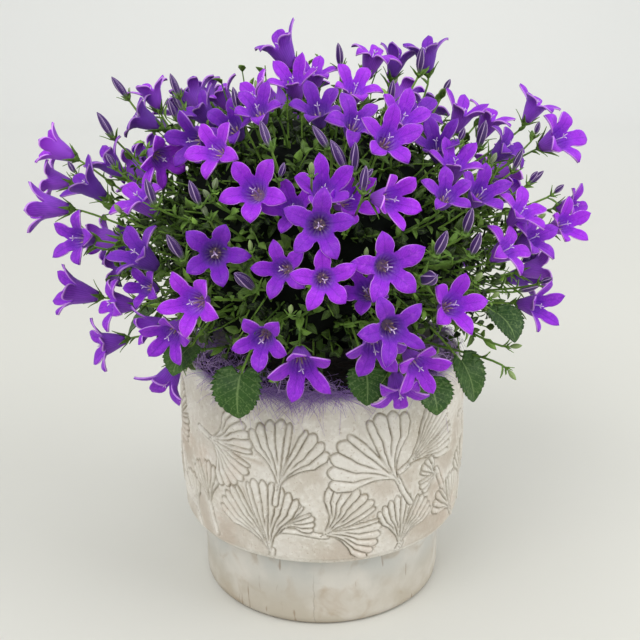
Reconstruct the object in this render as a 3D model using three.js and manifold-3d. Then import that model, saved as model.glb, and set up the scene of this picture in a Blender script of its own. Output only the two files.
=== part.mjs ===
// Potted bellflower: a Campanula house plant in full bloom in a whitewashed pot.
// Millimetres, +Z up. The origin is the centre of the pot's flat base; -Y is the front.
import * as THREE from 'three';
import { mergeVertices } from 'three/addons/utils/BufferGeometryUtils.js';
import Module from 'manifold-3d';

const wasm = await Module();
wasm.setup();

// Driving dimensions
const POT_RADIUS = 75.7;
const POT_HEIGHT = 128.5;
const FOOT_RADIUS = 64.5;
const FOOT_HEIGHT = 42;
const POT_WALL = 8;
const POT_FLOOR = 8;
const POT_SIDES = 30;
const GAP = 0.35;
const SOIL_TOP = 114;
const SOIL_SLOPE = 12;
const SOIL_FALL = 2;
const BLOOM_RADIUS = 14;
const LOBE_HALF_WIDTH = 4;
const BELL_LENGTH = 12;
const STEM_RADIUS = 0.95;
const BLADE = 0.8;
const DOME_CENTRE = new THREE.Vector3(-4, 0, 187);
const DOME_RADII = new THREE.Vector3(124, 120, 86);
const CORE_RADII = new THREE.Vector3(76, 76, 56);
const LEAF_TUFT = 24;
const SMALL_LEAVES = 20;
const GOLDEN_ANGLE = 137.508;
const SEED = 20;

// Blooms whose places are known: across, back, up (mm, centre of the mouth), the way the
// mouth turns (degrees, 0 front, 90 right), how far it lifts above level, and its scale.
const PLACED_BLOOMS = [
  [-20, -15, 280, -80, 62, 1.0], [-13, -41, 266, -20, 55, 0.95], [-3, -20, 269, 20, 70, 0.9],
  [-2, -60, 256, -10, 50, 1.0], [-31, -38, 259, -75, 42, 1.0], [-50, 0, 257, -90, 55, 0.9],
  [-58, -15, 251, -80, 48, 1.0], [-85, 10, 258, -90, 68, 0.9], [-90, 0, 246, -85, 28, 1.0],
  [-58, -50, 240, -35, 5, 1.0], [-40, -55, 248, -25, 35, 1.0], [-27, -65, 256, -15, 45, 0.9],
  [-45, -75, 240, -30, 25, 1.0], [-70, -45, 231, 40, -10, 1.0], [-105, -10, 227, -80, 50, 1.0],
  [-133, 0, 231, -85, 28, 1.0], [-134, -23, 206, -80, 8, 1.1], [-140, 12, 213, -95, 10, 1.0],
  [-112, -25, 218, -70, 42, 1.0], [-81, -58, 218, -55, 48, 1.1], [-112, -52, 197, -32, 15, 1.0],
  [-79, -80, 198, -50, 40, 1.1], [-27, -98, 227, -8, 20, 1.1], [-12, -91, 219, -10, 30, 1.0],
  [1, -98, 228, 5, 40, 1.05], [-1, -122, 218, 0, 10, 1.1], [-42, -105, 203, 5, 12, 1.1],
  [-52, -108, 184, -20, 12, 1.1], [-16, -109, 198, -15, 15, 0.9], [1, -125, 198, 5, 10, 0.95],
  [-122, -30, 166, -70, 18, 1.15], [-96, -60, 169, -65, 12, 1.0], [-75, -85, 184, -30, 20, 0.75],
  [-77, -78, 164, -70, -5, 0.8], [-107, -41, 142, -65, -5, 1.05], [-65, -90, 163, -20, -15, 1.0],
  [-70, -77, 135, -45, -28, 1.0], [-24, -114, 170, -8, 0, 1.0], [-8, -112, 157, 5, -18, 1.1],
  [25, -5, 276, 60, 70, 1.0], [37, 10, 274, 90, 75, 0.9], [50, 6, 277, -60, 80, 0.95],
  [15, -40, 263, 20, 50, 1.0], [14, -76, 252, 15, 40, 1.0], [43, -33, 252, 30, 55, 1.0],
  [27, -85, 246, 15, 30, 1.05], [35, -60, 252, 30, 45, 1.0], [50, -48, 240, -20, 55, 1.0],
  [67, -14, 250, 60, 65, 0.95], [83, 0, 246, 70, 65, 1.0], [107, 10, 252, 80, 62, 0.95],
  [115, -15, 238, 38, 26, 1.2], [89, -20, 235, 60, 40, 1.0], [57, -60, 233, 10, 60, 1.0],
  [51, -85, 224, 10, 45, 0.9], [68, -70, 222, 20, 40, 1.0], [91, -48, 210, 40, 50, 1.0],
  [28, -108, 225, 40, 5, 1.0], [12, -88, 222, 30, 25, 1.0], [120, -16, 196, 30, 22, 1.0],
  [98, -46, 197, 45, 35, 1.0], [130, 6, 201, 55, 15, 0.9], [83, -63, 196, 50, 38, 1.0],
  [25, -121, 202, 8, 12, 1.1], [100, -55, 166, 42, 8, 1.0], [54, -100, 181, 20, 25, 1.05],
  [17, -106, 189, -15, 30, 0.95], [27, -127, 179, 8, 8, 1.05], [21, -118, 167, 5, -25, 1.0],
  [40, -108, 156, 25, -15, 1.0], [33, -100, 140, 15, -42, 1.0],
];

// Closed buds: middle of the bud across, back and up, then turn, lift and scale
const PLACED_BUDS = [
  [-98, 5, 258, -60, 55, 1.0], [-104, -5, 241, -85, 60, 1.1], [-69, -10, 260, -60, 70, 0.9],
  [-71, -75, 221, -40, 70, 1.0], [-50, -93, 224, -30, 60, 1.0], [-58, -97, 203, -40, 55, 1.1],
  [72, -36, 240, 20, 70, 1.1], [46, -10, 271, 10, 75, 1.0], [8, -22, 274, -20, 70, 0.9],
  [59, -90, 212, 10, 60, 1.1], [46, -107, 207, 20, 55, 1.1], [62, -92, 203, 20, 60, 1.0],
  [16, -108, 232, 10, 70, 0.9], [90, -30, 228, 60, 70, 0.9], [-121, -10, 222, -90, 60, 0.7],
  [104, -5, 240, 60, 75, 0.7], [103, -48, 176, 60, 30, 0.7], [-30, -103, 191, -30, 35, 1.3],
  [41, -112, 195, 10, 20, 1.5], [84, -76, 141, 60, -45, 0.8], [86, -70, 152, 80, 10, 0.7],
];

// Large toothed leaves: stalk end across, back, up; tip across, back, up; width
const PLACED_LEAVES = [
  [-37, -84, 147, -38, -90, 125, 21], [19, -88, 149, 19, -97, 135, 17],
  [46, -80, 141, 50, -89, 127, 18], [62, -65, 147, 69, -70, 125, 19],
  [75, -70, 170, 84, -79, 157, 16], [-58, -74, 153, -67, -86, 138, 19],
];
const RIM_LEAVES = 6;
const RIM_LEAF_WIDTH = 20;

// Sprays that cover the sides and the back: where each faces from the dome's centre (turn,
// lift), and the places of its blooms across and up from the spray's middle
const SPRAYS = [
  [100, -14], [138, -20], [176, -14], [214, -20], [250, -12], [118, 14], [158, 16],
  [198, 15], [238, 18], [140, 46], [188, 48], [236, 50],
];
const SPRAY_BLOOMS = [[-8, -5], [9, -5], [0, 9]];

// Stems that carry the bush out of the soil: rings of radius and count
const STEM_RINGS = [[0, 1], [34, 6]];
const TRUNK_RADIUS = 2;
const TRUNK_DEPTH = 12;

const paint = (colour, roughness) =>
  new THREE.MeshStandardMaterial({ color: colour, roughness, metalness: 0 });
const POT_PAINT = paint('#d2ccc0', 0.9);
const SOIL_PAINT = paint('#2c2119', 1);
const FIBRE_PAINT = paint('#7d5b9c', 0.9);
const LEAF_PAINT = paint('#3c6530', 0.65);
const PETAL_PAINT = paint('#7a2bc6', 0.55);

// Repeatable draw between 0 and 1
let drawState = SEED;
function draw() {
  drawState = (Math.imul(drawState, 1664525) + 1013904223) >>> 0;
  return drawState / 4294967296;
}

const radians = (degrees) => (degrees * Math.PI) / 180;

// Direction that turns from the front towards the right and lifts above level
function heading(turn, lift) {
  const [t, l] = [radians(turn), radians(lift)];
  return new THREE.Vector3(Math.sin(t) * Math.cos(l), -Math.cos(t) * Math.cos(l), Math.sin(l));
}

// Axes of a piece that faces along a heading: right, up and forward
function facing(turn, lift) {
  const forward = heading(turn, lift);
  const right = new THREE.Vector3(Math.cos(radians(turn)), Math.sin(radians(turn)), 0);
  return { right, up: forward.clone().cross(right), forward };
}

// Point at a, b across the piece and s along it, from its place
function at(place, axes, a, b, s) {
  return place.clone().addScaledVector(axes.right, a).addScaledVector(axes.up, b)
    .addScaledVector(axes.forward, s);
}

// Solid from its corner points and the triangles between them
function solid(points, triangles) {
  const mesh = new wasm.Mesh({
    numProp: 3,
    vertProperties: new Float32Array(points.flatMap((p) => [p.x, p.y, p.z])),
    triVerts: new Uint32Array(triangles.flat()),
  });
  return new wasm.Manifold(mesh);
}

function solidOf(geometry) {
  geometry.deleteAttribute('normal');
  geometry.deleteAttribute('uv');
  const merged = mergeVertices(geometry, 1e-4);
  const mesh = new wasm.Mesh({
    numProp: 3,
    vertProperties: new Float32Array(merged.attributes.position.array),
    triVerts: new Uint32Array(merged.index.array),
  });
  return new wasm.Manifold(mesh);
}

const join = (solids) => solids.reduce((whole, next) => whole.add(next));

// Fuses many solids pair by pair, which is quicker than one after the other
function fuse(solids) {
  if (solids.length < 3) {
    return join(solids);
  }
  const half = solids.length >> 1;
  return fuse(solids.slice(0, half)).add(fuse(solids.slice(half)));
}

function crosses(a, b) {
  return a.intersect(b).volume() > 1e-3;
}

// Side faces between a top and a bottom ring of the same corners, counter-clockwise from above
function wall(top, bottom, triangles) {
  top.forEach((corner, k) => {
    const next = (k + 1) % top.length;
    triangles.push([corner, bottom[k], bottom[next]], [corner, bottom[next], top[next]]);
  });
}

// Solid through a row of rings, each a polygon round its centre; one side makes a point
function loft(rings) {
  const points = [];
  const triangles = [];
  let rear = null;
  for (const { centre, right, up, radius, sides } of rings) {
    const start = points.length;
    for (let k = 0; k < sides; k++) {
      const angle = (2 * Math.PI * k) / sides;
      const reach = sides === 1 ? 0 : radius;
      points.push(centre.clone().addScaledVector(right, reach * Math.cos(angle))
        .addScaledVector(up, reach * Math.sin(angle)));
    }
    if (rear) {
      bridge(rear, { start, sides }, triangles);
    } else {
      for (let k = 1; k < sides - 1; k++) {
        triangles.push([start, start + k + 1, start + k]);
      }
    }
    rear = { start, sides };
  }
  for (let k = 1; k < rear.sides - 1; k++) {
    triangles.push([rear.start, rear.start + k, rear.start + k + 1]);
  }
  return solid(points, triangles);
}

// Faces between two rings that may have different numbers of sides
function bridge(rear, front, triangles) {
  const behind = (k) => rear.start + (k % rear.sides);
  const ahead = (k) => front.start + (k % front.sides);
  let [i, j] = [0, 0];
  while (i < rear.sides || j < front.sides) {
    const stepRear = j === front.sides
      || (i < rear.sides && (i + 1) / rear.sides <= (j + 1) / front.sides);
    if (stepRear) {
      if (rear.sides > 1) {
        triangles.push([ahead(j), behind(i), behind(i + 1)]);
      }
      i += 1;
    } else {
      if (front.sides > 1) {
        triangles.push([ahead(j), behind(i), ahead(j + 1)]);
      }
      j += 1;
    }
  }
}

// Rings along a path, each square to it, with their radii and numbers of sides
function stalk(path, radii, sides, lead = new THREE.Vector3(0.31, 0.17, 0.94)) {
  return loft(path.map((centre, k) => {
    const after = path[Math.min(k + 1, path.length - 1)];
    const along = after.clone().sub(path[Math.max(k - 1, 0)]).normalize();
    const right = lead.clone().addScaledVector(along, -lead.dot(along)).normalize();
    return { centre, right, up: along.cross(right), radius: radii[k], sides: sides[k] };
  }));
}

// Bellflower: a five-sided bell, hollow at the mouth, that opens into five pointed lobes
function bloom(place, axes, scale, spin) {
  const lobe = 2 * Math.PI / 5;
  const points = [];
  const put = (angle, radial, lateral, s) => {
    const a = radial * Math.cos(angle) - lateral * Math.sin(angle);
    const b = radial * Math.sin(angle) + lateral * Math.cos(angle);
    return points.push(at(place, axes, a * scale, b * scale, s * scale)) - 1;
  };
  const ring = (radius, s) => Array.from({ length: 5 }, (_, k) =>
    put(spin + lobe * (k + 0.5), radius, 0, s));
  const innerNotch = ring(4.9, -1.1);
  const outerNotch = ring(5.5, -2);
  const base = ring(2.5, -BELL_LENGTH);
  const throat = put(0, 0, 0, -8);
  const triangles = [[base[0], base[2], base[1]], [base[0], base[3], base[2]],
    [base[0], base[4], base[3]]];
  for (let k = 0; k < 5; k++) {
    const angle = spin + lobe * k;
    const before = (k + 4) % 5;
    const [a, b] = [innerNotch[before], innerNotch[k]];
    const [c, d] = [outerNotch[before], outerNotch[k]];
    const right = put(angle, 8.8, -LOBE_HALF_WIDTH, 0.9);
    const left = put(angle, 8.8, LOBE_HALF_WIDTH, 0.9);
    const under = put(angle, 8.8, -LOBE_HALF_WIDTH, 0.1);
    const beneath = put(angle, 8.8, LOBE_HALF_WIDTH, 0.1);
    const tip = put(angle, BLOOM_RADIUS, 0, 0.2);
    triangles.push(
      [a, right, left], [a, left, b], [right, tip, left],
      [c, beneath, under], [c, d, beneath], [under, beneath, tip],
      [a, c, under], [a, under, right], [right, under, tip], [tip, beneath, left],
      [left, beneath, d], [left, d, b],
      [throat, a, b], [c, base[before], base[k]], [c, base[k], d],
    );
  }
  return solid(points, triangles);
}

// Stalk from its root to a bloom, which flares into the calyx that holds the bell
function bloomStalk(root, elbow, { place, axes, scale }) {
  const behind = (s) => at(place, axes, 0, 0, -s * scale);
  const path = [root, behind(BELL_LENGTH + 2.4), behind(BELL_LENGTH + GAP / scale)];
  const radii = [STEM_RADIUS * 1.3, STEM_RADIUS, 5.2 * scale];
  const sides = [3, 3, 5];
  if (elbow) {
    path.splice(1, 0, behind(BELL_LENGTH + elbow));
    radii.splice(1, 0, STEM_RADIUS);
    sides.splice(1, 0, 3);
  }
  return stalk(path, radii, sides, axes.up.clone().lerp(axes.right, 0.3));
}

// Stalk that ends in a slim closed bud, pointed at its free end
function budStalk(root, elbow, { place, axes, scale }) {
  const along = (s) => at(place, axes, 0, 0, s * scale);
  const path = [root, along(-5.5), along(-2.5), along(2), along(7.5)];
  const radii = [STEM_RADIUS * 1.2, STEM_RADIUS * 0.9, 2.1 * scale, 2 * scale, 0];
  const sides = [3, 3, 4, 4, 1];
  if (elbow) {
    path.splice(1, 0, along(-5.5 - elbow));
    radii.splice(1, 0, STEM_RADIUS);
    sides.splice(1, 0, 3);
  }
  return stalk(path, radii, sides, axes.up.clone().lerp(axes.right, 0.3));
}

// Leaf blade from stalk end to tip, folded along its midrib; halfWidths run from base to tip
function leafBlade(base, tip, facingOut, width, halfWidths, fold) {
  const along = tip.clone().sub(base);
  const length = along.length();
  along.normalize();
  const right = along.clone().cross(facingOut).normalize();
  const out = right.clone().cross(along);
  const rows = halfWidths.length;
  const points = [];
  for (const side of [0.5, -0.5]) {
    const put = (across, t, lift) => points.push(base.clone().addScaledVector(along, t * length)
      .addScaledVector(right, across).addScaledVector(out, lift + side * BLADE));
    put(0, 0, 0);
    halfWidths.forEach((half, k) => {
      const t = (k + 1) / (rows + 1);
      const arch = width * 0.5 * t * (1 - t);
      put(half * width, t, arch + fold * half * width);
      put(0, t, arch);
      put(-half * width, t, arch + fold * half * width);
    });
    put(0, 1, 0);
  }
  const corner = rows * 3 + 1;
  const half = corner + 1;
  const faces = [[0, 1, 2], [0, 2, 3]];
  for (let k = 0; k < rows - 1; k++) {
    const [r, m, l] = [1 + 3 * k, 2 + 3 * k, 3 + 3 * k];
    faces.push([r, r + 3, m + 3], [r, m + 3, m], [m, m + 3, l + 3], [m, l + 3, l]);
  }
  const last = 1 + 3 * (rows - 1);
  faces.push([last, corner, last + 1], [last + 1, corner, last + 2]);
  const rim = [0];
  for (let k = 0; k < rows; k++) {
    rim.push(1 + 3 * k);
  }
  rim.push(corner);
  for (let k = rows - 1; k >= 0; k--) {
    rim.push(3 + 3 * k);
  }
  const triangles = [...faces, ...faces.map(([a, b, c]) => [a + half, c + half, b + half])];
  wall(rim, rim.map((k) => k + half), triangles);
  return solid(points, triangles);
}

// Heart-shaped outline with saw teeth, and the plain one of a small leaf
const TOOTHED = [0.46, 0.42, 0.5, 0.36, 0.34, 0.16];
const SMALL_OUTLINE = [0.5];

// Place on an ellipsoid round the dome's centre
function onDome(radii, turn, lift, factor = 1) {
  return heading(turn, lift).multiply(radii).multiplyScalar(factor).add(DOME_CENTRE);
}

// Pot: a plain foot, and a wider cylindrical body that overhangs it
function pot() {
  const inside = POT_RADIUS - POT_WALL;
  const profile = [
    [0, 0], [FOOT_RADIUS - 1.5, 0], [FOOT_RADIUS, 1.5], [FOOT_RADIUS, FOOT_HEIGHT],
    [POT_RADIUS - 2.4, FOOT_HEIGHT + 0.4], [POT_RADIUS - 1.2, FOOT_HEIGHT + 3],
    [POT_RADIUS, FOOT_HEIGHT + 30], [POT_RADIUS - 0.8, POT_HEIGHT - 18],
    [POT_RADIUS - 2.6, POT_HEIGHT - 2.4], [POT_RADIUS - 4.8, POT_HEIGHT],
    [POT_RADIUS - 7, POT_HEIGHT - 2], [inside, POT_HEIGHT - 6], [inside, FOOT_HEIGHT + 14],
    [FOOT_RADIUS - POT_WALL, FOOT_HEIGHT], [FOOT_RADIUS - POT_WALL, POT_FLOOR], [0, POT_FLOOR],
  ];
  return lathe(profile);
}

function lathe(profile) {
  const outline = profile.map(([radius, z]) => new THREE.Vector2(radius, z));
  const geometry = new THREE.LatheGeometry(outline, POT_SIDES);
  return solidOf(geometry.rotateX(Math.PI / 2));
}

function trunkPlaces() {
  return STEM_RINGS.flatMap(([radius, count]) => Array.from({ length: count }, (_, k) => {
    const angle = (2 * Math.PI * k) / count + radius;
    return new THREE.Vector3(radius * Math.cos(angle), radius * Math.sin(angle), 0);
  }));
}

// Soil that fills the pot to a finger's breadth below the rim, with a plain hole for each stem
function soil() {
  const inside = POT_RADIUS - POT_WALL - GAP;
  const foot = FOOT_RADIUS - POT_WALL - GAP;
  const body = lathe([
    [0, POT_FLOOR + GAP], [foot, POT_FLOOR + GAP], [foot, FOOT_HEIGHT + GAP],
    [inside, FOOT_HEIGHT + 14.5], [inside, SOIL_TOP - SOIL_FALL], [inside - SOIL_SLOPE, SOIL_TOP],
    [0, SOIL_TOP + 2],
  ]);
  const holes = trunkPlaces().map((place) => {
    const bottom = place.clone().setZ(SOIL_TOP - TRUNK_DEPTH - GAP);
    const radius = TRUNK_RADIUS * 1.5;
    return stalk([bottom, place.clone().setZ(SOIL_TOP + 10)], [radius, radius], [4, 4]);
  });
  return body.subtract(fuse(holes));
}

// Fibre tucked between plant and rim: a slim ring under loose strands that loop over the rim
const FIBRE_RING = 61;
const FIBRE_STRANDS = 10;
const FIBRE_RADIUS = 0.8;
function fibre() {
  const ringTop = SOIL_TOP + 5;
  const slopeStart = POT_RADIUS - POT_WALL - GAP - SOIL_SLOPE;
  const bed = (radius) => SOIL_TOP + GAP - (SOIL_FALL * (radius - slopeStart)) / SOIL_SLOPE;
  const [inner, outer] = [FIBRE_RING - 4, FIBRE_RING + 4];
  const ring = lathe([
    [inner, bed(inner)], [outer, bed(outer)], [FIBRE_RING + 3, ringTop],
    [FIBRE_RING - 2, ringTop + 2], [inner, bed(inner)],
  ]);
  const strands = [];
  for (let k = 0; k < FIBRE_STRANDS; k++) {
    const start = 2 * Math.PI * (k + 0.6 * draw()) / FIBRE_STRANDS;
    const sweep = 0.35 + 0.3 * draw();
    const reach = POT_RADIUS - 7 + 8.5 * draw();
    const height = POT_HEIGHT + 1.5 + 3 * draw();
    const place = (angle, radius, z) =>
      new THREE.Vector3(radius * Math.cos(angle), radius * Math.sin(angle), z);
    strands.push(stalk([
      place(start, FIBRE_RING, ringTop - 3), place(start + sweep * 0.3, FIBRE_RING + 3, height - 1),
      place(start + sweep * 0.6, Math.max(reach, FIBRE_RING + 5), height + 0.5),
      place(start + sweep * 0.9, FIBRE_RING + 2, height - 2),
      place(start + sweep * 1.2, FIBRE_RING, ringTop - 3),
    ], Array(5).fill(FIBRE_RADIUS), Array(5).fill(3)));
  }
  return join([ring, fuse(strands)]);
}

// Every bloom: the placed ones, then those of the sprays over the sides and the back
function bloomPlaces() {
  const blooms = PLACED_BLOOMS.map(([x, y, z, turn, lift, scale], k) =>
    ({ place: new THREE.Vector3(x, y, z), axes: facing(turn, lift), scale, spin: Math.PI / 2 + k }));
  for (const [turn, rise] of SPRAYS) {
    const spray = facing(turn, rise);
    const middle = onDome(DOME_RADII, turn, rise);
    const roll = 2 * Math.PI * draw();
    SPRAY_BLOOMS.forEach(([a, b], k) => {
      const across = a * Math.cos(roll) - b * Math.sin(roll);
      const up = a * Math.sin(roll) + b * Math.cos(roll);
      const place = at(middle, spray, across, up, -3 * (k % 2));
      const axes = facing(turn + across + 16 * (draw() - 0.5), rise * 0.75 + 14 + 16 * (draw() - 0.5));
      blooms.push({ place, axes, scale: 1 + 0.12 * draw(), spin: 6 * draw() });
    });
  }
  return blooms;
}

// Blooms whose lobes touch share a node, as one solid
function bloomClusters(blooms) {
  const clusters = [];
  for (const flower of blooms) {
    const near = clusters.filter((cluster) => cluster.some((other) =>
      other.place.distanceTo(flower.place) < 3 * BLOOM_RADIUS && crosses(other.solid, flower.solid)));
    const merged = [flower, ...near.flat()];
    near.forEach((cluster) => clusters.splice(clusters.indexOf(cluster), 1));
    clusters.push(merged);
  }
  return clusters.map((cluster) => fuse(cluster.map((flower) => flower.solid)));
}

// Dense heart of the bush: every facet rises into a pointed tuft of leaves, lower where a bell
// hangs near it or the soil lies under it
function core(blooms) {
  const ball = new THREE.IcosahedronGeometry(1, 2).attributes.position;
  const placeOn = (unit, reach) => unit.clone().normalize().multiply(CORE_RADII)
    .multiplyScalar(1 + reach / CORE_RADII.x).add(DOME_CENTRE);
  const roomy = (tip) => tip.z > SOIL_TOP + 8 && blooms.every(({ place, axes, scale }) =>
    tip.distanceTo(place) > 17 && tip.distanceTo(at(place, axes, 0, 0, -scale * BELL_LENGTH)) > 9);
  const corners = [];
  for (let k = 0; k < ball.count; k += 3) {
    const units = [0, 1, 2].map((j) => new THREE.Vector3().fromBufferAttribute(ball, k + j));
    const [a, b, c] = units.map((unit) => placeOn(unit, 3 * Math.sin(9 * unit.x + 7 * unit.z)));
    const middle = units[0].clone().add(units[1]).add(units[2]);
    const lean = new THREE.Vector3(draw() - 0.5, draw() - 0.5, draw() - 0.2).multiplyScalar(0.22);
    const height = LEAF_TUFT * (0.6 + 0.5 * draw());
    const aim = middle.normalize().add(lean);
    const reaches = [height, 0.6 * height, 0.3 * height];
    const reach = reaches.find((value) => roomy(placeOn(aim, value))) ?? 2;
    const tip = placeOn(reach > 2 ? aim : middle, reach);
    corners.push(a, b, tip, b, c, tip, c, a, tip);
  }
  return solidOf(new THREE.BufferGeometry().setFromPoints(corners));
}

// Stalk from inside the core, bent clear of the petals that it would cross
function clearStalk(make, piece, petals) {
  const outward = piece.place.clone().sub(DOME_CENTRE).divide(CORE_RADII).normalize();
  const aims = [[0, 0], [0.25, 0], [-0.25, 0], [0, 0.25], [0, -0.25], [0.5, 0.2], [-0.5, 0.2],
    [0.5, -0.3], [-0.5, -0.3], [0, -0.6], [0, 0.6], [0.8, 0], [-0.8, 0]];
  for (const elbow of [0, 7, 12]) {
    for (const [across, raise] of aims) {
      const root = new THREE.Vector3(
        outward.x - across * outward.y, outward.y + across * outward.x, outward.z + raise);
      root.normalize().multiply(CORE_RADII).multiplyScalar(0.88).add(DOME_CENTRE);
      const stem = make(root, elbow, piece);
      if (!crosses(stem, petals)) {
        return stem;
      }
    }
  }
  throw new Error(`no clear way for the stalk at ${piece.place.toArray()}`);
}

// The green of the plant, as one solid: core, stalks with calyxes and buds, and leaves
function foliage(blooms, petals, others) {
  const buds = PLACED_BUDS.map(([x, y, z, turn, lift, scale]) =>
    ({ place: new THREE.Vector3(x, y, z), axes: facing(turn, lift), scale }));
  const clear = (leaf) => ![petals, ...others].some((other) => crosses(leaf, other));
  return fuse([
    core(blooms),
    ...blooms.map((flower) => clearStalk(bloomStalk, flower, petals)),
    ...buds.map((piece) => clearStalk(budStalk, piece, petals)),
    ...largeLeaves().filter(clear), ...smallLeaves().filter(clear), ...trunks(),
  ]);
}

function largeLeaves() {
  const rim = Array.from({ length: RIM_LEAVES }, (_, k) => {
    const turn = 80 + (200 * k) / (RIM_LEAVES - 1);
    const base = heading(turn, 0).multiplyScalar(84).setZ(150 + 8 * draw());
    const tip = heading(turn + 14 * (draw() - 0.5), 0).multiplyScalar(97 + 6 * draw());
    tip.setZ(132 + 8 * draw());
    return { base, tip, width: RIM_LEAF_WIDTH };
  });
  const placed = PLACED_LEAVES.map(([x, y, z, u, v, w, width]) =>
    ({ base: new THREE.Vector3(x, y, z), tip: new THREE.Vector3(u, v, w), width }));
  return [...placed, ...rim].map(({ base, tip, width }) => {
    const root = base.clone().sub(DOME_CENTRE).divide(CORE_RADII).normalize()
      .multiply(CORE_RADII).multiplyScalar(0.9).add(DOME_CENTRE);
    const out = new THREE.Vector3(base.x, base.y, 60);
    return fuse([
      leafBlade(base, tip, out, width, TOOTHED, 0.25),
      stalk([root, base.clone().lerp(tip, 0.12)], [1.2, 0.9], [3, 3]),
    ]);
  });
}

function smallLeaves() {
  return Array.from({ length: SMALL_LEAVES }, (_, k) => {
    const turn = (k * GOLDEN_ANGLE * 1.7) % 360;
    const rise = -42 + (128 * (k + 0.5)) / SMALL_LEAVES;
    const root = onDome(CORE_RADII, turn, rise, 0.9);
    const out = heading(turn + 70 * (draw() - 0.5), rise + 70 * (draw() - 0.4));
    const length = 20 + 8 * draw();
    const tip = root.clone().addScaledVector(out, length);
    const face = heading(turn + 100 * draw(), 60);
    return leafBlade(root, tip, face, 13, SMALL_OUTLINE, 0.3);
  });
}

function trunks() {
  return trunkPlaces().map((place) => stalk(
    [place.clone().setZ(SOIL_TOP - TRUNK_DEPTH), place.clone().setZ(DOME_CENTRE.z - 20)],
    [TRUNK_RADIUS, TRUNK_RADIUS * 0.9], [4, 4]));
}

const group = new THREE.Group();

function addMesh(name, body, material) {
  const { vertProperties, triVerts, numProp } = body.getMesh();
  const geometry = new THREE.BufferGeometry();
  const position = new Float32Array((vertProperties.length / numProp) * 3);
  for (let k = 0; k < position.length / 3; k++) {
    position.set(vertProperties.subarray(k * numProp, k * numProp + 3), 3 * k);
  }
  geometry.setAttribute('position', new THREE.BufferAttribute(position, 3));
  geometry.setIndex(new THREE.BufferAttribute(new Uint32Array(triVerts), 1));
  geometry.computeVertexNormals();
  const mesh = new THREE.Mesh(geometry, material);
  mesh.name = name;
  group.add(mesh);
}

const blooms = bloomPlaces();
for (const flower of blooms) {
  flower.solid = bloom(flower.place, flower.axes, flower.scale, flower.spin);
}
const clusters = bloomClusters(blooms);
const potBody = pot();
const soilBody = soil();
const fibreBody = fibre();

addMesh('pot', potBody, POT_PAINT);
addMesh('soil', soilBody, SOIL_PAINT);
addMesh('fibre_collar', fibreBody, FIBRE_PAINT);
addMesh('foliage', foliage(blooms, fuse(clusters), [potBody, soilBody, fibreBody]), LEAF_PAINT);
clusters.forEach((cluster, k) => {
  addMesh(`blooms_${String(k + 1).padStart(2, '0')}`, cluster, PETAL_PAINT);
});

export default group;
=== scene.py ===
"""Potted bellflower: the looks of a house plant in full bloom in a whitewashed pot.

Every piece is a surface worked out with numpy in millimetres, in the frame of the CAD model:
the origin is the centre of the pot's base, -Y is the front and +Z is up.
"""
import math
import bpy
import numpy as np
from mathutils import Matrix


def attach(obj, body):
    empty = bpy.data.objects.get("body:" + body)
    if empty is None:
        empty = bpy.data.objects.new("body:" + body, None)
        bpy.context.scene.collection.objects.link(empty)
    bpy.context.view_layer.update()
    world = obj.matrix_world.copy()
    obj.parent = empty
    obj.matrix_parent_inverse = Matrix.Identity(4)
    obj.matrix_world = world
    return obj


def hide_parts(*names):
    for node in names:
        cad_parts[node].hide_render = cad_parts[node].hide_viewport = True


bl_info = {
    "name": "Potted bellflower",
    "version": (1, 0, 0),
    "blender": (4, 5, 0),
    "location": "View3D > Sidebar > Bellflower",
    "description": "Builds the looks of a potted bellflower around its CAD solids",
    "category": "Object",
}

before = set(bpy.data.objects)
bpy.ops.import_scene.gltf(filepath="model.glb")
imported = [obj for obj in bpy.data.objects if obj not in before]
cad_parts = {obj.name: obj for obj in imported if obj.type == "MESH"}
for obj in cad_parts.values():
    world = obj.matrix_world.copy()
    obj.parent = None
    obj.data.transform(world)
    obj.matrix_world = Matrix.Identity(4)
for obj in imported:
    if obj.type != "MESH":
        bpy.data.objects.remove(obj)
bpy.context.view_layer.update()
NODES = sorted(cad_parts)
BLOOM_NODES = [name for name in NODES if name.startswith("blooms_")]

MM = 0.001
SEED = 20
GOLDEN = math.radians(137.508)

# Bush (mm): the dome that its outer parts follow, its heart (where a dark globe paints the shade inside
# the bush), the soil and a bloom's measures
DOME_CENTRE = np.array([-4.0, 0.0, 187.0])
DOME_RADII = np.array([124.0, 120.0, 86.0])
CORE_RADII = np.array([76.0, 76.0, 56.0])
SOIL_TOP = 114.0
BELL_LENGTH = 12.0
BELL_BASE = 2.1
MOUTH_RADIUS = 5.2
LOBE_LENGTH = 8.2

# Pot and soil (mm): heights and radii, and how finely the wall and the turned bodies are divided
WALL_LOW = 42.4
WALL_HIGH = 126.1
WALL_MIDDLE = 75.0
RELIEF_RADIUS = 75.4
RELIEF_SHARE = 0.75
RIM_TOP = 128.5
RIM_RADIUS = 73.0
WALL_ROWS = 162
FRONT_COLUMNS = 290
BACK_COLUMNS = 190
POT_SIDES = 144
SOIL_SIDES = 100
SOIL_RADIUS = 67.3
SHARP_EDGE = 80

# Relief (mm): a stem's radius; widths of the lines on ribs, at the edge and beside the stem; depth
# of the lines; how far and how high the ground rises round a fan
FAN_STEM_RADIUS = 1.3
RIB_LINE = 0.42
EDGE_LINE = 0.48
STEM_LINE = 0.36
LINE_DEPTH = 1.25
HALO_REACH = 3.0
HALO_HEIGHT = 0.3

# How far behind a mouth a stalk ends, and where and how large a bud's calyx is
BLOOM_STALK_REACH = 14.2
BUD_STALK_REACH = 3.9
BUD_CALYX_AHEAD = 3.3
BUD_CALYX_SCALE = 0.7
LEAVES_A_STALK = 5
BACK_BUDS = 60
BACK_LEAVES = 6
BACK_LEAF_WIDTH = 20.0

# The lowest height of shoots and of the tips of small leaves (mm)
LOWEST_GREEN = 119.0

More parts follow.
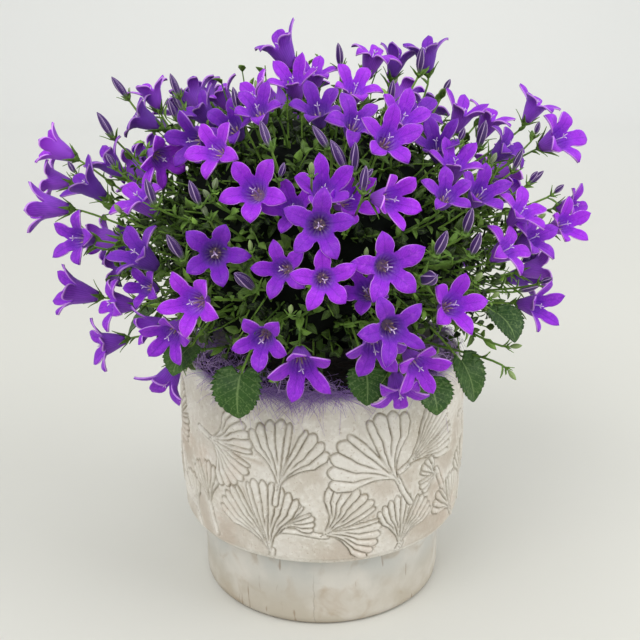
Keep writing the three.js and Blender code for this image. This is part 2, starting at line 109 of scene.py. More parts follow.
# The camera that was fitted to the circles of the pot (m, degrees, mm)
CAMERA_PLACE = (0, -0.447, 0.289)
CAMERA_PITCH = 18.3
CAMERA_LENS = 50.6
CAMERA_SENSOR = 36
CAMERA_SHIFT = -0.003

# Lamps: name, place (m), width, share of the key light's power, and what each is aimed at
LAMPS = (
    ("key", (-0.7, -1.1, 1.5), 1.1, 1.0, (0, 0, 0.15)),
    ("side", (1.4, -0.6, 1.0), 1.0, 0.7, (0, 0, 0.1)),
    ("back", (0.2, 0.7, 2.4), 1.8, 0.8, (0.3, 2.8, 0.7)),
)

# Stage (mm): half width, floor in front and behind, radius of the bend and top of the backdrop
STAGE_HALF_WIDTH = 5000
STAGE_FRONT = -3000
STAGE_BACK = 2200
STAGE_BEND = 900
STAGE_TOP = 4200

# One seed for each thing that is drawn
SEEDS = {
    "uneven wall": 3, "line across": 9, "line up": 10, "crumbs": 5, "clods": 6, "heart": 2,
    "strands": 31, "wisps": 32, "petals left": 41, "petals right": 42, "petals back": 43,
    "pistils": 44, "sepals": 11, "bloom stalks": 51, "bud stalks": 52, "stalk leaves": 53,
    "back buds": 12, "shoots": 61, "large leaves": 8,
}

# Across, back, up (mm, centre of the mouth), turn, lift (degrees) and scale. These are the
# solids' rows, but the first is larger and the one at [-70, -77] hangs lower, as in the photo.
PLACED_BLOOMS = [
    [-20, -15, 280, -80, 62, 1.1], [-13, -41, 266, -20, 55, 0.95], [-3, -20, 269, 20, 70, 0.9],
    [-2, -60, 256, -10, 50, 1.0], [-31, -38, 259, -75, 42, 1.0], [-50, 0, 257, -90, 55, 0.9],
    [-58, -15, 251, -80, 48, 1.0], [-85, 10, 258, -90, 68, 0.9], [-90, 0, 246, -85, 28, 1.0],
    [-58, -50, 240, -35, 5, 1.0], [-40, -55, 248, -25, 35, 1.0], [-27, -65, 256, -15, 45, 0.9],
    [-45, -75, 240, -30, 25, 1.0], [-70, -45, 231, 40, -10, 1.0], [-105, -10, 227, -80, 50, 1.0],
    [-133, 0, 231, -85, 28, 1.0], [-134, -23, 206, -80, 8, 1.1], [-140, 12, 213, -95, 10, 1.0],
    [-112, -25, 218, -70, 42, 1.0], [-81, -58, 218, -55, 48, 1.1], [-112, -52, 197, -32, 15, 1.0],
    [-79, -80, 198, -50, 40, 1.1], [-27, -98, 227, -8, 20, 1.1], [-12, -91, 219, -10, 30, 1.0],
    [1, -98, 228, 5, 40, 1.05], [-1, -122, 218, 0, 10, 1.1], [-42, -105, 203, 5, 12, 1.1],
    [-52, -108, 184, -20, 12, 1.1], [-16, -109, 198, -15, 15, 0.9], [1, -125, 198, 5, 10, 0.95],
    [-122, -30, 166, -70, 18, 1.15], [-96, -60, 169, -65, 12, 1.0], [-75, -85, 184, -30, 20, 0.75],
    [-77, -78, 164, -70, -5, 0.8], [-107, -41, 142, -65, -5, 1.05], [-65, -90, 163, -20, -15, 1.0],
    [-70, -77, 136, -40, -44, 1.0], [-24, -114, 170, -8, 0, 1.0], [-8, -112, 157, 5, -18, 1.1],
    [25, -5, 276, 60, 70, 1.0], [37, 10, 274, 90, 75, 0.9], [50, 6, 277, -60, 80, 0.95],
    [15, -40, 263, 20, 50, 1.0], [14, -76, 252, 15, 40, 1.0], [43, -33, 252, 30, 55, 1.0],
    [27, -85, 246, 15, 30, 1.05], [35, -60, 252, 30, 45, 1.0], [50, -48, 240, -20, 55, 1.0],
    [67, -14, 250, 60, 65, 0.95], [83, 0, 246, 70, 65, 1.0], [107, 10, 252, 80, 62, 0.95],
    [115, -15, 238, 38, 26, 1.2], [89, -20, 235, 60, 40, 1.0], [57, -60, 233, 10, 60, 1.0],
    [51, -85, 224, 10, 45, 0.9], [68, -70, 222, 20, 40, 1.0], [91, -48, 210, 40, 50, 1.0],
    [28, -108, 225, 40, 5, 1.0], [12, -88, 222, 30, 25, 1.0], [120, -16, 196, 30, 22, 1.0],
    [98, -46, 197, 45, 35, 1.0], [130, 6, 201, 55, 15, 0.9], [83, -63, 196, 50, 38, 1.0],
    [25, -121, 202, 8, 12, 1.1], [100, -55, 166, 42, 8, 1.0], [54, -100, 181, 20, 25, 1.05],
    [17, -106, 189, -15, 30, 0.95], [27, -127, 179, 8, 8, 1.05], [21, -118, 167, 5, -25, 1.0],
    [40, -108, 156, 25, -15, 1.0], [33, -100, 140, 15, -42, 1.0],
]

# Closed buds: middle across, back, up, then turn, lift and scale. The first 21 are in the solids,
# where the last two of them are larger.
PLACED_BUDS = [
    [-98, 5, 258, -60, 55, 1.0], [-104, -5, 241, -85, 60, 1.1], [-69, -10, 260, -60, 70, 0.9],
    [-71, -75, 221, -40, 70, 1.0], [-50, -93, 224, -30, 60, 1.0], [-58, -97, 203, -40, 55, 1.1],
    [72, -36, 240, 20, 70, 1.1], [46, -10, 271, 10, 75, 1.0], [8, -22, 274, -20, 70, 0.9],
    [59, -90, 212, 10, 60, 1.1], [46, -107, 207, 20, 55, 1.1], [62, -92, 203, 20, 60, 1.0],
    [16, -108, 232, 10, 70, 0.9], [90, -30, 228, 60, 70, 0.9], [-121, -10, 222, -90, 60, 0.7],
    [104, -5, 240, 60, 75, 0.7], [103, -48, 176, 60, 30, 0.7], [-30, -103, 191, -30, 35, 1.3],
    [41, -112, 195, 10, 20, 1.5], [84, -76, 141, 60, -45, 0.6], [86, -70, 152, 80, 10, 0.6],
    [-46, -88, 223, -40, 50, 0.65], [-43, -86, 227, 30, 60, 0.65], [-47, -90, 217, -50, 65, 0.65],
    [-22, -86, 246, -110, 68, 0.9], [-16, -90, 233, 60, 70, 0.7], [0, -86, 245, -80, 55, 0.9],
    [7, -88, 238, -70, 62, 1.1], [13, -88, 237, 10, 80, 1.0], [18, -88, 231, 70, 50, 0.7],
    [25, -100, 207, 20, 70, 0.7], [-28, -104, 206, -15, 80, 0.5], [-37, -100, 206, -20, 75, 0.5],
    [17, -112, 205, 15, 80, 0.5], [-12, -117, 184, 10, 60, 0.55],
    [-29, -108, 172, -30, 60, 0.5], [64, -92, 190, 35, 50, 0.6], [72, -88, 181, 40, 40, 0.55],
    [-60, -92, 175, -40, 45, 0.6], [38, -112, 170, 25, 40, 0.5], [-88, -62, 212, -50, 55, 0.6],
    [-95, -40, 230, -60, 60, 0.75], [-36, -60, 258, -30, 70, 0.8], [60, -55, 243, 35, 65, 0.7],
    [30, -50, 260, 15, 75, 0.8], [-66, -40, 252, -40, 65, 0.8], [96, -38, 222, 50, 55, 0.7],
    [75, -50, 232, 45, 60, 0.65], [-4, -104, 236, 0, 65, 0.6], [110, -30, 215, 55, 45, 0.7],
]

# Large toothed leaves: stalk end across, back, up; tip across, back, up; width. The first and the
# last two differ from the solids by up to 5 mm.
PLACED_LEAVES = [
    [-35, -84, 148, -36, -90, 126, 22], [19, -88, 149, 19, -97, 135, 17],
    [46, -80, 141, 50, -89, 127, 18], [62, -65, 147, 69, -70, 125, 19],
    [75, -70, 170, 84, -79, 157, 20], [-57, -74, 155, -65, -83, 143, 18],
]

# Turns (degrees from X) of the clumps of fibre; where turns lie close, more strands stand
STRAND_CLUMPS = [-100, -92, -110, -84, -132, -140, -38, -30, 60, 150, 200, -118]
WISP_CLUMPS = [-118, -112, -106, -100, -95, -90, -86, -130, -46, 20, 90, 160]

# Sprays over the sides and the back: turn and lift of each, then its blooms across and up
SPRAYS = [
    [100, -14], [138, -20], [176, -14], [214, -20], [250, -12], [118, 14], [158, 16],
    [198, 15], [238, 18], [140, 46], [188, 48], [236, 50],
]
SPRAY_BLOOMS = [[-8, -5], [9, -5], [0, 9]]

# Leaf fans in relief on the pot: arc from the front and height of the base (mm), tilt of the
# axis from upright, half spread (degrees), length (mm), ribs, rib edge that is split, and the
# arc and height of the stem's end. The set repeats three times round the wall.
FANS = [
    [-21.5, 80.5, 13, 42, 37, 9, 5, -22.4, 73.5],
    [39.0, 81.0, -40, 50, 41, 9, 5, 45.5, 69.0],
    [-25.0, 44.5, -16, 42, 41, 12, 5, -26.0, 38.0],
    [-20.0, 61.0, 56, 40, 18, 7, 3, -26.0, 54.0],
    [-1.0, 58.0, 66, 60, 31, 13, 7, -25.0, 58.5],
    [39.5, 45.0, 12, 44, 30, 11, 6, 38.5, 43.0],
    [-62.0, 99.0, 100, 64, 29, 12, 6, -70.0, 101.0],
    [65.0, 77.5, -72, 52, 15, 7, 3, 69.0, 69.0],
    [41.0, 88.0, 60, 34, 38, 11, 6, 37.0, 86.0],
    [83.0, 48.0, -30, 40, 27, 8, 4, 86.0, 43.5],
    [-62.0, 60.0, -10, 34, 26, 7, 3, -58.0, 47.0],
]
FAN_REPEATS = 3


def linear(colour):
    """An sRGB hex value as linear red, green, blue and alpha."""
    parts = [int(colour[k:k + 2], 16) / 255 for k in (1, 3, 5)]
    return [p / 12.92 if p <= 0.04045 else ((p + 0.055) / 1.055) ** 2.4 for p in parts] + [1.0]


def radians(values):
    return np.radians(np.asarray(values, float))


def heading(turn, lift):
    """Unit directions that turn from the front to the right and lift above level."""
    turn, lift = np.broadcast_arrays(radians(turn), radians(lift))
    return np.stack([np.sin(turn) * np.cos(lift), -np.cos(turn) * np.cos(lift),
                     np.sin(lift)], axis=-1)


def facing(turn, lift):
    """Axes of pieces that face along a heading: right, up and forward, one triple a piece."""
    forward = heading(turn, lift)
    angle = radians(turn)
    right = np.stack([np.cos(angle), np.sin(angle), np.zeros_like(angle)], axis=-1)
    return np.stack([right, np.cross(forward, right), forward], axis=-2)


def unit(vectors):
    return vectors / np.maximum(np.linalg.norm(vectors, axis=-1, keepdims=True), 1e-9)


def place_at(places, axes, scale, local):
    """Local points (pieces x points x 3) of each piece, scaled, turned to its axes and moved."""
    turned = np.einsum("npk,nkj->npj", local, axes)
    return places[:, None] + scale[:, None, None] * turned


class Draws:
    """The repeatable draw between 0 and 1 that the solids use too."""

    def __init__(self, seed):
        self.state = seed

    def next(self):
        self.state = (self.state * 1664525 + 1013904223) & 0xFFFFFFFF
        return self.state / 4294967296


def bloom_table():
    """Places, axes, scales and spins of all the blooms, by the same rule as in the solids."""
    draws = Draws(SEED)
    rows = np.array(PLACED_BLOOMS, float)
    places = [row[:3] for row in rows]
    turns = list(rows[:, 3])
    lifts = list(rows[:, 4])
    scales = list(rows[:, 5])
    spins = [math.pi / 2 + k for k in range(len(rows))]
    for turn, rise in SPRAYS:
        right, up, forward = facing(turn, rise)
        middle = heading(turn, rise) * DOME_RADII + DOME_CENTRE
        roll = 2 * math.pi * draws.next()
        for k, (a, b) in enumerate(SPRAY_BLOOMS):
            across = a * math.cos(roll) - b * math.sin(roll)
            above = a * math.sin(roll) + b * math.cos(roll)
            places.append(middle + across * right + above * up - 3 * (k % 2) * forward)
            turns.append(turn + across + 16 * (draws.next() - 0.5))
            lifts.append(rise * 0.75 + 14 + 16 * (draws.next() - 0.5))
            scales.append(1 + 0.12 * draws.next())
            spins.append(6 * draws.next())
    return np.array(places), facing(turns, lifts), np.array(scales), np.array(spins)


BLOOM_PLACES, BLOOM_AXES, BLOOM_SCALES, BLOOM_SPINS = bloom_table()


def grid_faces(ids, around=False):
    """Quads between neighbours of a grid of point numbers; around joins last column to first."""
    if around:
        ids = np.concatenate([ids, ids[:, :1]], axis=1)
    quads = np.stack([ids[:-1, :-1], ids[:-1, 1:], ids[1:, 1:], ids[1:, :-1]], axis=-1)
    return quads.reshape(-1, 4)


def repeated(faces, count, step):
    """The same faces for each of a number of copies, whose points follow one another."""
    return (faces[None] + step * np.arange(count)[:, None, None]).reshape(-1, faces.shape[1])


def capped(ids):
    """Faces of a closed round body: quads between its rings of point numbers, and both ends."""
    return [grid_faces(ids, around=True), ids[:1, ::-1], ids[-1:]]


def round_axis(radius, height, angle):
    """Points at a radius and a height, turned round Z from X by an angle."""
    return np.stack([radius * np.cos(angle), radius * np.sin(angle),
                     height * np.ones_like(angle)], axis=-1)


def make_piece(name, points, faces, material, nodes, slot, uv=None, values=None, sharp=None):
    """A mesh object from points in mm and arrays of faces, riding on the body."""
    sizes = np.concatenate([np.full(len(f), f.shape[1]) for f in faces])
    corners = np.concatenate([f.ravel() for f in faces]).astype(np.int32)
    mesh = bpy.data.meshes.new(name)
    mesh.vertices.add(len(points))
    mesh.vertices.foreach_set("co", (np.asarray(points) * MM).astype(np.float32).ravel())
    mesh.loops.add(len(corners))
    mesh.loops.foreach_set("vertex_index", corners)
    mesh.polygons.add(len(sizes))
    starts = np.concatenate([[0], np.cumsum(sizes)[:-1]]).astype(np.int32)
    mesh.polygons.foreach_set("loop_start", starts)
    if uv is not None:
        layer = mesh.uv_layers.new(name="Form")
        layer.data.foreach_set("uv", np.asarray(uv, np.float32)[corners].ravel())
    for key, value in (values or {}).items():
        attribute = mesh.attributes.new(key, "FLOAT", "POINT")
        attribute.data.foreach_set("value", np.asarray(value, np.float32).ravel())
    mesh.polygons.foreach_set("use_smooth", np.ones(len(sizes), bool))
    mesh.update(calc_edges=True)
    if sharp is not None:
        mesh.set_sharp_from_angle(angle=math.radians(sharp))
    if mesh.validate():
        raise RuntimeError(f"{name}: the mesh had faults")
    mesh.materials.append(material)
    piece = bpy.data.objects.new(name, mesh)
    bpy.context.scene.collection.objects.link(piece)
    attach(piece, "root")
    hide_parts(*nodes)


def foliage_piece(name, part, material):
    """A green piece from its points, its faces, its form coordinates if it has any, and tone."""
    points, faces, *uv, tone = part
    make_piece(name, points, faces, material, ["foliage"], "leaves", *uv, values={"tone": tone})


def tubes(paths, radii, sides, lead=(0.31, 0.17, 0.94)):
    """Rods along paths (rods x steps x 3): at each step a circle square to the path."""
    count, steps = paths.shape[:2]
    along = unit(np.gradient(paths, axis=1))
    lead = np.broadcast_to(np.asarray(lead, float), along.shape)
    right = unit(lead - along * np.sum(lead * along, axis=-1, keepdims=True))
    up = np.cross(along, right)
    angle = 2 * np.pi * np.arange(sides) / sides
    radii = np.broadcast_to(radii, (count, steps))[..., None, None]
    spread = (right[:, :, None] * np.cos(angle)[:, None] + up[:, :, None] * np.sin(angle)[:, None])
    points = (paths[:, :, None] + radii * spread).reshape(-1, 3)
    ids = np.arange(steps * sides).reshape(steps, sides)
    return points, [repeated(f, count, steps * sides) for f in capped(ids)]


def sheet_faces(rows, columns):
    """Faces of a thin closed sheet: a grid above, the same grid below, and the rim between."""
    top = np.arange(rows * columns).reshape(rows, columns)
    low = top + rows * columns
    rim = np.concatenate([top[0, :-1], top[:-1, -1], top[-1, :0:-1], top[:0:-1, 0]])
    after = np.roll(rim, -1)
    size = rows * columns
    wall = np.stack([rim, rim + size, after + size, after], axis=-1)
    return [grid_faces(top), grid_faces(low)[:, ::-1], wall]


def blades(base, tip, out, width, outline, shape, thickness, fold, arch, setback=0.0):
    """Leaf-like sheets. A point at t along and u across (-1 to 1) lies at base + t * (tip - base),
    less setback * |u|^1.5 * (1 - t)^2 of the length, plus u * outline(t) * width to the side, and
    rises by width * (arch * t * (1 - t) + fold * |u| * outline(t)). Shape is rows and columns."""
    rows, columns = shape
    count = len(base)
    t = np.linspace(0, 1, rows)[:, None]
    u = np.linspace(-1, 1, columns)[None]
    along = tip - base
    length = np.linalg.norm(along, axis=-1)
    along = unit(along)
    right = unit(np.cross(along, out))
    outward = np.cross(right, along)
    half = outline(t) * np.ones_like(u)
    way = t - setback * np.abs(u) ** 1.5 * (1 - t) ** 2
    width = np.asarray(width)[:, None, None]
    lift = width * (arch * t * (1 - t) + fold * np.abs(u) * half)
    side = np.concatenate([np.full(rows * columns, 0.5), np.full(rows * columns, -0.5)])
    flat = lambda grid: np.tile(np.broadcast_to(grid, (count, rows, columns)).reshape(count, -1), 2)
    points = (base[:, None] + along[:, None] * (flat(way) * length[:, None])[..., None]
              + right[:, None] * flat(width * half * u)[..., None]
              + outward[:, None] * (flat(lift) + side * thickness)[..., None])
    uv = np.stack([flat(u * 0.5 + 0.5), flat(t * np.ones_like(u))], axis=-1)
    size = 2 * rows * columns
    faces = [repeated(f[:, ::-1], count, size) for f in sheet_faces(rows, columns)]
    return points.reshape(-1, 3), faces, uv.reshape(-1, 2), size


def joined(parts):
    """Several (points, faces, ...) as one: face numbers are moved on, arrays are chained."""
    points, faces, rest = [], [], []
    offset = 0
    for part in parts:
        points.append(part[0])
        faces.extend(f + offset for f in part[1])
        rest.append(part[2:])
        offset += len(part[0])
    extra = [np.concatenate(column) for column in zip(*rest)]
    return (np.concatenate(points), faces, *extra)


def waves(x, y, z, scale, count, seed):
    """Soft random field: a sum of sine waves in drawn directions, about -1 to 1."""
    rng = np.random.default_rng(seed)
    ways = rng.normal(size=(count, 3)) / scale
    phases = rng.uniform(0, 2 * np.pi, count)
    total = sum(np.sin(x * w[0] + y * w[1] + z * w[2] + p) for w, p in zip(ways, phases))
    return total / math.sqrt(count)


def new_material(name):
    material = bpy.data.materials.new(name)
    material.use_nodes = True
    tree = material.node_tree
    return material, tree, tree.nodes["Principled BSDF"]


def add(tree, kind, links=None, **settings):
    """Adds a node: settings are its properties, links map an input to a value or an output."""
    node = tree.nodes.new(kind)
    for key, value in settings.items():
        setattr(node, key, value)
    for key, value in (links or {}).items():
        if isinstance(value, bpy.types.NodeSocket):
            tree.links.new(value, node.inputs[key])
        else:
            node.inputs[key].default_value = value
    return node


def value_of(tree, operation, *inputs):
    """The output of one Math node."""
    return add(tree, "ShaderNodeMath", dict(enumerate(inputs)), operation=operation).outputs[0]


def times(tree, first, second):
    return value_of(tree, "MULTIPLY", first, second)


def minus(tree, first, second):
    return value_of(tree, "SUBTRACT", first, second)


def band(tree, value, low, high, start=0.0, end=1.0):
    """Value carried smoothly from low..high to start..end."""
    node = add(tree, "ShaderNodeMapRange",
               {"Value": value, "From Min": low, "From Max": high, "To Min": start, "To Max": end},
               interpolation_type="SMOOTHSTEP")
    return node.outputs["Result"]


def mixed(tree, factor, first, second):
    """Colour mix of two colours or outputs."""
    node = add(tree, "ShaderNodeMix", data_type="RGBA")
    for socket, value in ((node.inputs[0], factor), (node.inputs[6], first), (node.inputs[7], second)):
        if isinstance(value, bpy.types.NodeSocket):
            tree.links.new(value, socket)
        else:
            socket.default_value = linear(value) if isinstance(value, str) else value
    return node.outputs[2]


def noise(tree, scale, detail, distortion=0.0, vector=None):
    """Noise whose scale is features a metre, on Object coordinates unless a vector is given."""
    if vector is None:
        vector = add(tree, "ShaderNodeTexCoord").outputs["Object"]
    node = add(tree, "ShaderNodeTexNoise", {"Vector": vector, "Scale": scale, "Detail": detail,
                                            "Distortion": distortion})
    return node.outputs[0]


def attribute(tree, name):
    return add(tree, "ShaderNodeAttribute", attribute_name=name).outputs["Fac"]


def form_uv(tree):
    """The across and along coordinates of a blade or petal."""
    uv = add(tree, "ShaderNodeUVMap", uv_map="Form").outputs[0]
    split = add(tree, "ShaderNodeSeparateXYZ", {0: uv})
    return split.outputs[0], split.outputs[1]


def bump(tree, shader, height, distance, strength=1.0):
    node = add(tree, "ShaderNodeBump", {"Height": height, "Distance": distance,
                                        "Strength": strength})
    tree.links.new(node.outputs[0], shader.inputs["Normal"])


def coated(tree, shader, colour, roughness, specular=0.5):
    """Gives the shader its colour, and its roughness and specular level as plain numbers."""
    tree.links.new(colour, shader.inputs["Base Color"])
    shader.inputs["Roughness"].default_value = roughness
    shader.inputs["Specular IOR Level"].default_value = specular


def height_of(tree):
    """Height above the floor in metres."""
    place = add(tree, "ShaderNodeTexCoord").outputs["Object"]
    return add(tree, "ShaderNodeSeparateXYZ", {0: place}).outputs[2]


def whitewashed_clay(colours):
    """Fired clay with a brushed whitewash: chalky and matt, whiter on the fans, worn to taupe
    between them below the shoulder, and taupe clay left in the grooves."""
    material, tree, shader = new_material("whitewashed_clay")
    groove = attribute(tree, "groove")
    wash = noise(tree, 45, 5)
    fine = noise(tree, 420, 4)
    coat = mixed(tree, band(tree, wash, 0.35, 0.7), colours.pot_wash, colours.pot_shade)
    coat = mixed(tree, band(tree, noise(tree, 28, 2, 0.6), 0.56, 0.72, 0, 0.55), coat, "#c9b5a5")
    ground = attribute(tree, "ground")
    coat = mixed(tree, band(tree, ground, 0.0, 0.9, 0.28, 0), coat, "#e4e0d7")
    coat = mixed(tree, band(tree, fine, 0.48, 0.72, 0, 0.5), coat, "#ece9e1")
    coat = mixed(tree, band(tree, noise(tree, 800, 2), 0.62, 0.72, 0, 0.45), coat, "#a08a72")
    worn = times(tree, ground, band(tree, noise(tree, 33, 3, 0.5), 0.4, 0.6, 0.1, 0.7))
    worn = times(tree, worn, band(tree, height_of(tree), 0.095, 0.112, 1, 0.15))
    coat = mixed(tree, worn, coat, "#b7ab9c")
    depth = band(tree, noise(tree, 160, 3), 0.3, 0.7, 0.45, 0.9)
    colour = mixed(tree, times(tree, groove, depth), coat, colours.pot_groove)
    coated(tree, shader, colour, 0.85, 0.3)
    bump(tree, shader, fine, 0.0008, 0.7)
    return material


def stoneware_foot(colours):
    """Bare foot of the pot: smoother, taupe below and a bluish wash under the overhang, with
    short upright ticks and one hairline crack in front."""
    material, tree, shader = new_material("stoneware_foot")
    place = add(tree, "ShaderNodeTexCoord").outputs["Object"]
    split = add(tree, "ShaderNodeSeparateXYZ", {0: place})
    height = split.outputs[2]
    base = mixed(tree, band(tree, height, 0.004, 0.038), colours.foot_low, colours.foot_high)
    base = mixed(tree, band(tree, noise(tree, 38, 4), 0.42, 0.68, 0, 0.8), base, "#d3cec5")
    base = mixed(tree, band(tree, height, 0.0008, 0.003, 0.45, 0), base, "#8f7d66")
    stretched = add(tree, "ShaderNodeMapping", {"Vector": place, "Scale": (260, 260, 45)}).outputs[0]
    ticks = noise(tree, 1.0, 2, 0, stretched)
    base = mixed(tree, band(tree, ticks, 0.67, 0.72, 0, 0.55), base, "#866a4e")
    base = mixed(tree, band(tree, noise(tree, 60, 4, 1.0), 0.5, 0.78, 0, 0.7), base, "#aa9880")
    wander = times(tree, minus(tree, noise(tree, 120, 3), 0.5), 0.006)
    crack = value_of(tree, "ABSOLUTE", value_of(
        tree, "ADD", value_of(tree, "ADD", split.outputs[0], 0.004), wander))
    line = band(tree, crack, 0.00012, 0.0004, 0.35, 0)
    front = band(tree, split.outputs[1], -0.04, -0.02, 1, 0)
    low = band(tree, height, 0.022, 0.034, 1, 0)
    line = times(tree, times(tree, line, front), low)
    base = mixed(tree, line, base, "#8a7f70")
    coated(tree, shader, base, 0.7, 0.35)
    bump(tree, shader, noise(tree, 300, 4), 0.0003, 0.35)
    return material


def potting_soil():
    """Peat: dark brown crumbs about 3 mm across, fully matt."""
    material, tree, shader = new_material("potting_soil")
    crumbs = noise(tree, 330, 6)
    colour = mixed(tree, band(tree, crumbs, 0.35, 0.7), "#0e0b08", "#2e2318")
    coated(tree, shader, colour, 1.0)
    bump(tree, shader, crumbs, 0.002)
    return material


def sisal_fibre(colours):
    """Dyed sisal: dry violet plant strands, with painted light and shade: lilac on strands out and up
    in the light, and deep violet as painted shade deep in the mat.
    """
    material, tree, shader = new_material("dyed_sisal")
    tone = attribute(tree, "tone")
    # Painted light and shade: the tone mixes the deep violet of shaded strands with the lilac of lit
    # ones.
    colour = mixed(tree, tone, colours.fibre_dark_with_painted_shade, colours.fibre_pale_with_painted_light)
    coated(tree, shader, colour, 0.6)
    return material


def petal_skin(colours):
    """Petal: velvety violet cells, paler at the thin edges, with a darker midrib, and a throat
    with pale streaks that is whitish at its bottom. The inside of the bell is a lighter violet,
    its own colour with painted light against the shade deep in the bell."""
    material, tree, shader = new_material("bellflower_petal")
    across, along = form_uv(tree)
    tone = attribute(tree, "tone")
    outside = attribute(tree, "outside")
    off = value_of(tree, "ABSOLUTE", minus(tree, across, 0.5))
    # Painted light: the throat colour is lighter than the lobes, to light up the inside of the bell
    # where shade falls.
    inner = mixed(tree, band(tree, along, 0.2, 0.52), colours.petal_throat_with_painted_light, colours.petal)
    inner = mixed(tree, band(tree, along, 0.8, 1.0, 0, 0.3), inner, colours.petal_deep)
    inner = mixed(tree, band(tree, off, 0.0, 0.06, 0.4, 0), inner, colours.petal_deep)
    slant = minus(tree, times(tree, along, 13.0), times(tree, off, 9.0))
    veins = value_of(tree, "SINE", times(tree, slant, 6.283))
    inner = mixed(tree, band(tree, veins, 0.7, 1.0, 0, 0.4), inner, colours.petal_deep)
    pale = band(tree, value_of(tree, "COSINE", times(tree, across, 18.85)), -0.5, 1.0)
    pale = times(tree, pale, band(tree, along, 0.08, 0.3, 0.55, 0))
    inner = mixed(tree, pale, inner, "#dcc8ee")
    inner = mixed(tree, band(tree, along, 0.0, 0.06, 0.8, 0), inner, "#dccabc")
    outer = mixed(tree, band(tree, along, 0.2, 1.0, 0, 0.8), colours.petal_back, colours.petal)
    ribs = value_of(tree, "SINE", times(tree, across, 44.0))
    outer = mixed(tree, band(tree, ribs, 0.5, 1.0, 0, 0.45), outer, colours.petal_deep)
    cells = noise(tree, 520, 4)
    inner = mixed(tree, band(tree, cells, 0.5, 0.8, 0, 0.5), inner, colours.petal_light)
    inner = mixed(tree, band(tree, noise(tree, 1300, 2), 0.5, 0.68, 0, 0.4), inner, "#6a1cb0")
    colour = mixed(tree, outside, inner, outer)
    edge = times(tree, band(tree, off, 0.46, 0.492), band(tree, along, 0.42, 0.5))
    colour = mixed(tree, times(tree, edge, 0.66), colour, colours.petal_edge)
    shade = add(tree, "ShaderNodeHueSaturation", {
        "Hue": band(tree, tone, 0, 1, 0.488, 0.51), "Value": band(tree, tone, 0, 1, 0.72, 1.26),
        "Color": colour}).outputs[0]
    coated(tree, shader, shade, 0.5, 0.22)
    shader.inputs["Sheen Weight"].default_value = 0.05
    bump(tree, shader, band(tree, veins, 0.6, 1.0), 0.0002, 0.4)
    return material


def leaf_skin(name, low, high, vein, vein_strength):
    """Green leaf: waxy, with a paler midrib and side veins that slant to the edge."""
    material, tree, shader = new_material(name)
    across, along = form_uv(tree)
    tone = attribute(tree, "tone")
    off = value_of(tree, "ABSOLUTE", minus(tree, across, 0.5))
    colour = mixed(tree, tone, low, high)
    colour = mixed(tree, band(tree, noise(tree, 180, 3), 0.4, 0.7, 0, 0.5), colour, low)
    colour = mixed(tree, band(tree, noise(tree, 900, 2), 0.5, 0.7, 0, 0.25), colour, vein)
    rib = band(tree, off, 0.008, 0.035, vein_strength, 0)
    slant = minus(tree, times(tree, along, 5.5), times(tree, off, 4.2))
    side = value_of(tree, "ABSOLUTE", minus(tree, value_of(tree, "FRACT", slant), 0.5))
    lines = band(tree, side, 0.02, 0.07, vein_strength * 0.6, 0)
    mask = value_of(tree, "MAXIMUM", rib, lines)
    colour = mixed(tree, mask, colour, vein)
    coated(tree, shader, colour, 0.45, 0.2)
    bump(tree, shader, mask, 0.0004, -0.6)
    return material


def stem_skin(name, low, high, roughness=0.55):
    """Plain plant tissue that varies a little from stem to stem."""
    material, tree, shader = new_material(name)
    colour = mixed(tree, attribute(tree, "tone"), low, high)
    colour = mixed(tree, band(tree, noise(tree, 260, 3), 0.45, 0.7, 0, 0.35), colour, low)
    coated(tree, shader, colour, roughness, 0.15)
    return material


def bud_skin():
    """Closed bud: dark purple-grey with pale pleats along it, green where it joins the calyx."""
    material, tree, shader = new_material("bellflower_bud")
    across, along = form_uv(tree)
    pleats = value_of(tree, "COSINE", times(tree, across, 31.416))
    colour = mixed(tree, band(tree, pleats, 0.68, 0.97), "#452468", "#c9aed6")
    colour = mixed(tree, times(tree, attribute(tree, "young"), 0.88), colour, "#8aa557")
    colour = mixed(tree, band(tree, along, 0.0, 0.3, 0.9, 0), colour, "#7d9a58")
    coated(tree, shader, colour, 0.5)
    return material


def heart_skin():
    """Pistil and stamens: waxy cream-pink, and dry tan-brown pollen sacs."""
    material, tree, shader = new_material("pistil_and_pollen")
    colour = mixed(tree, attribute(tree, "tone"), "#e2cdec", "#d8bf9c")
    coated(tree, shader, colour, 0.6)
    return material


def matt_card(colours):
    """Matt photographic card: pale, no gloss. Its colour grades from the floor's to a lighter
    backdrop, painted light that brightens the far card.
    """
    material, tree, shader = new_material("matt_card")
    place = add(tree, "ShaderNodeTexCoord").outputs["Object"]
    far = add(tree, "ShaderNodeSeparateXYZ", {0: place}).outputs[1]
    # Painted light: the card is lighter further back, towards the backdrop.
    colour = mixed(tree, band(tree, far, 0.1, 2.4), colours.stage, colours.stage_far_with_painted_light)
    coated(tree, shader, colour, 0.95, 0.1)
    return material


def wall_radius(z):
    """Radius of the pot's wall at a height, straight between the corners of its profile."""
    return np.interp(z, [WALL_LOW, 45, 72, 110.5, WALL_HIGH], [73.3, 74.5, 75.7, 74.9, 73.1])


def fan_edge(part, length, ribs, split):
    """Distance of a fan's edge from its base: shorter at both sides, one scallop a rib, and drawn
    in by half where it is split."""
    rib = (part * 0.5 + 0.5) * ribs
    edge = length * (1 - 0.16 * part ** 2) * (0.93 + 0.07 * np.abs(np.sin(np.pi * rib)))
    return edge * (1 - 0.5 * np.exp(-((rib - split) / 0.4) ** 2))


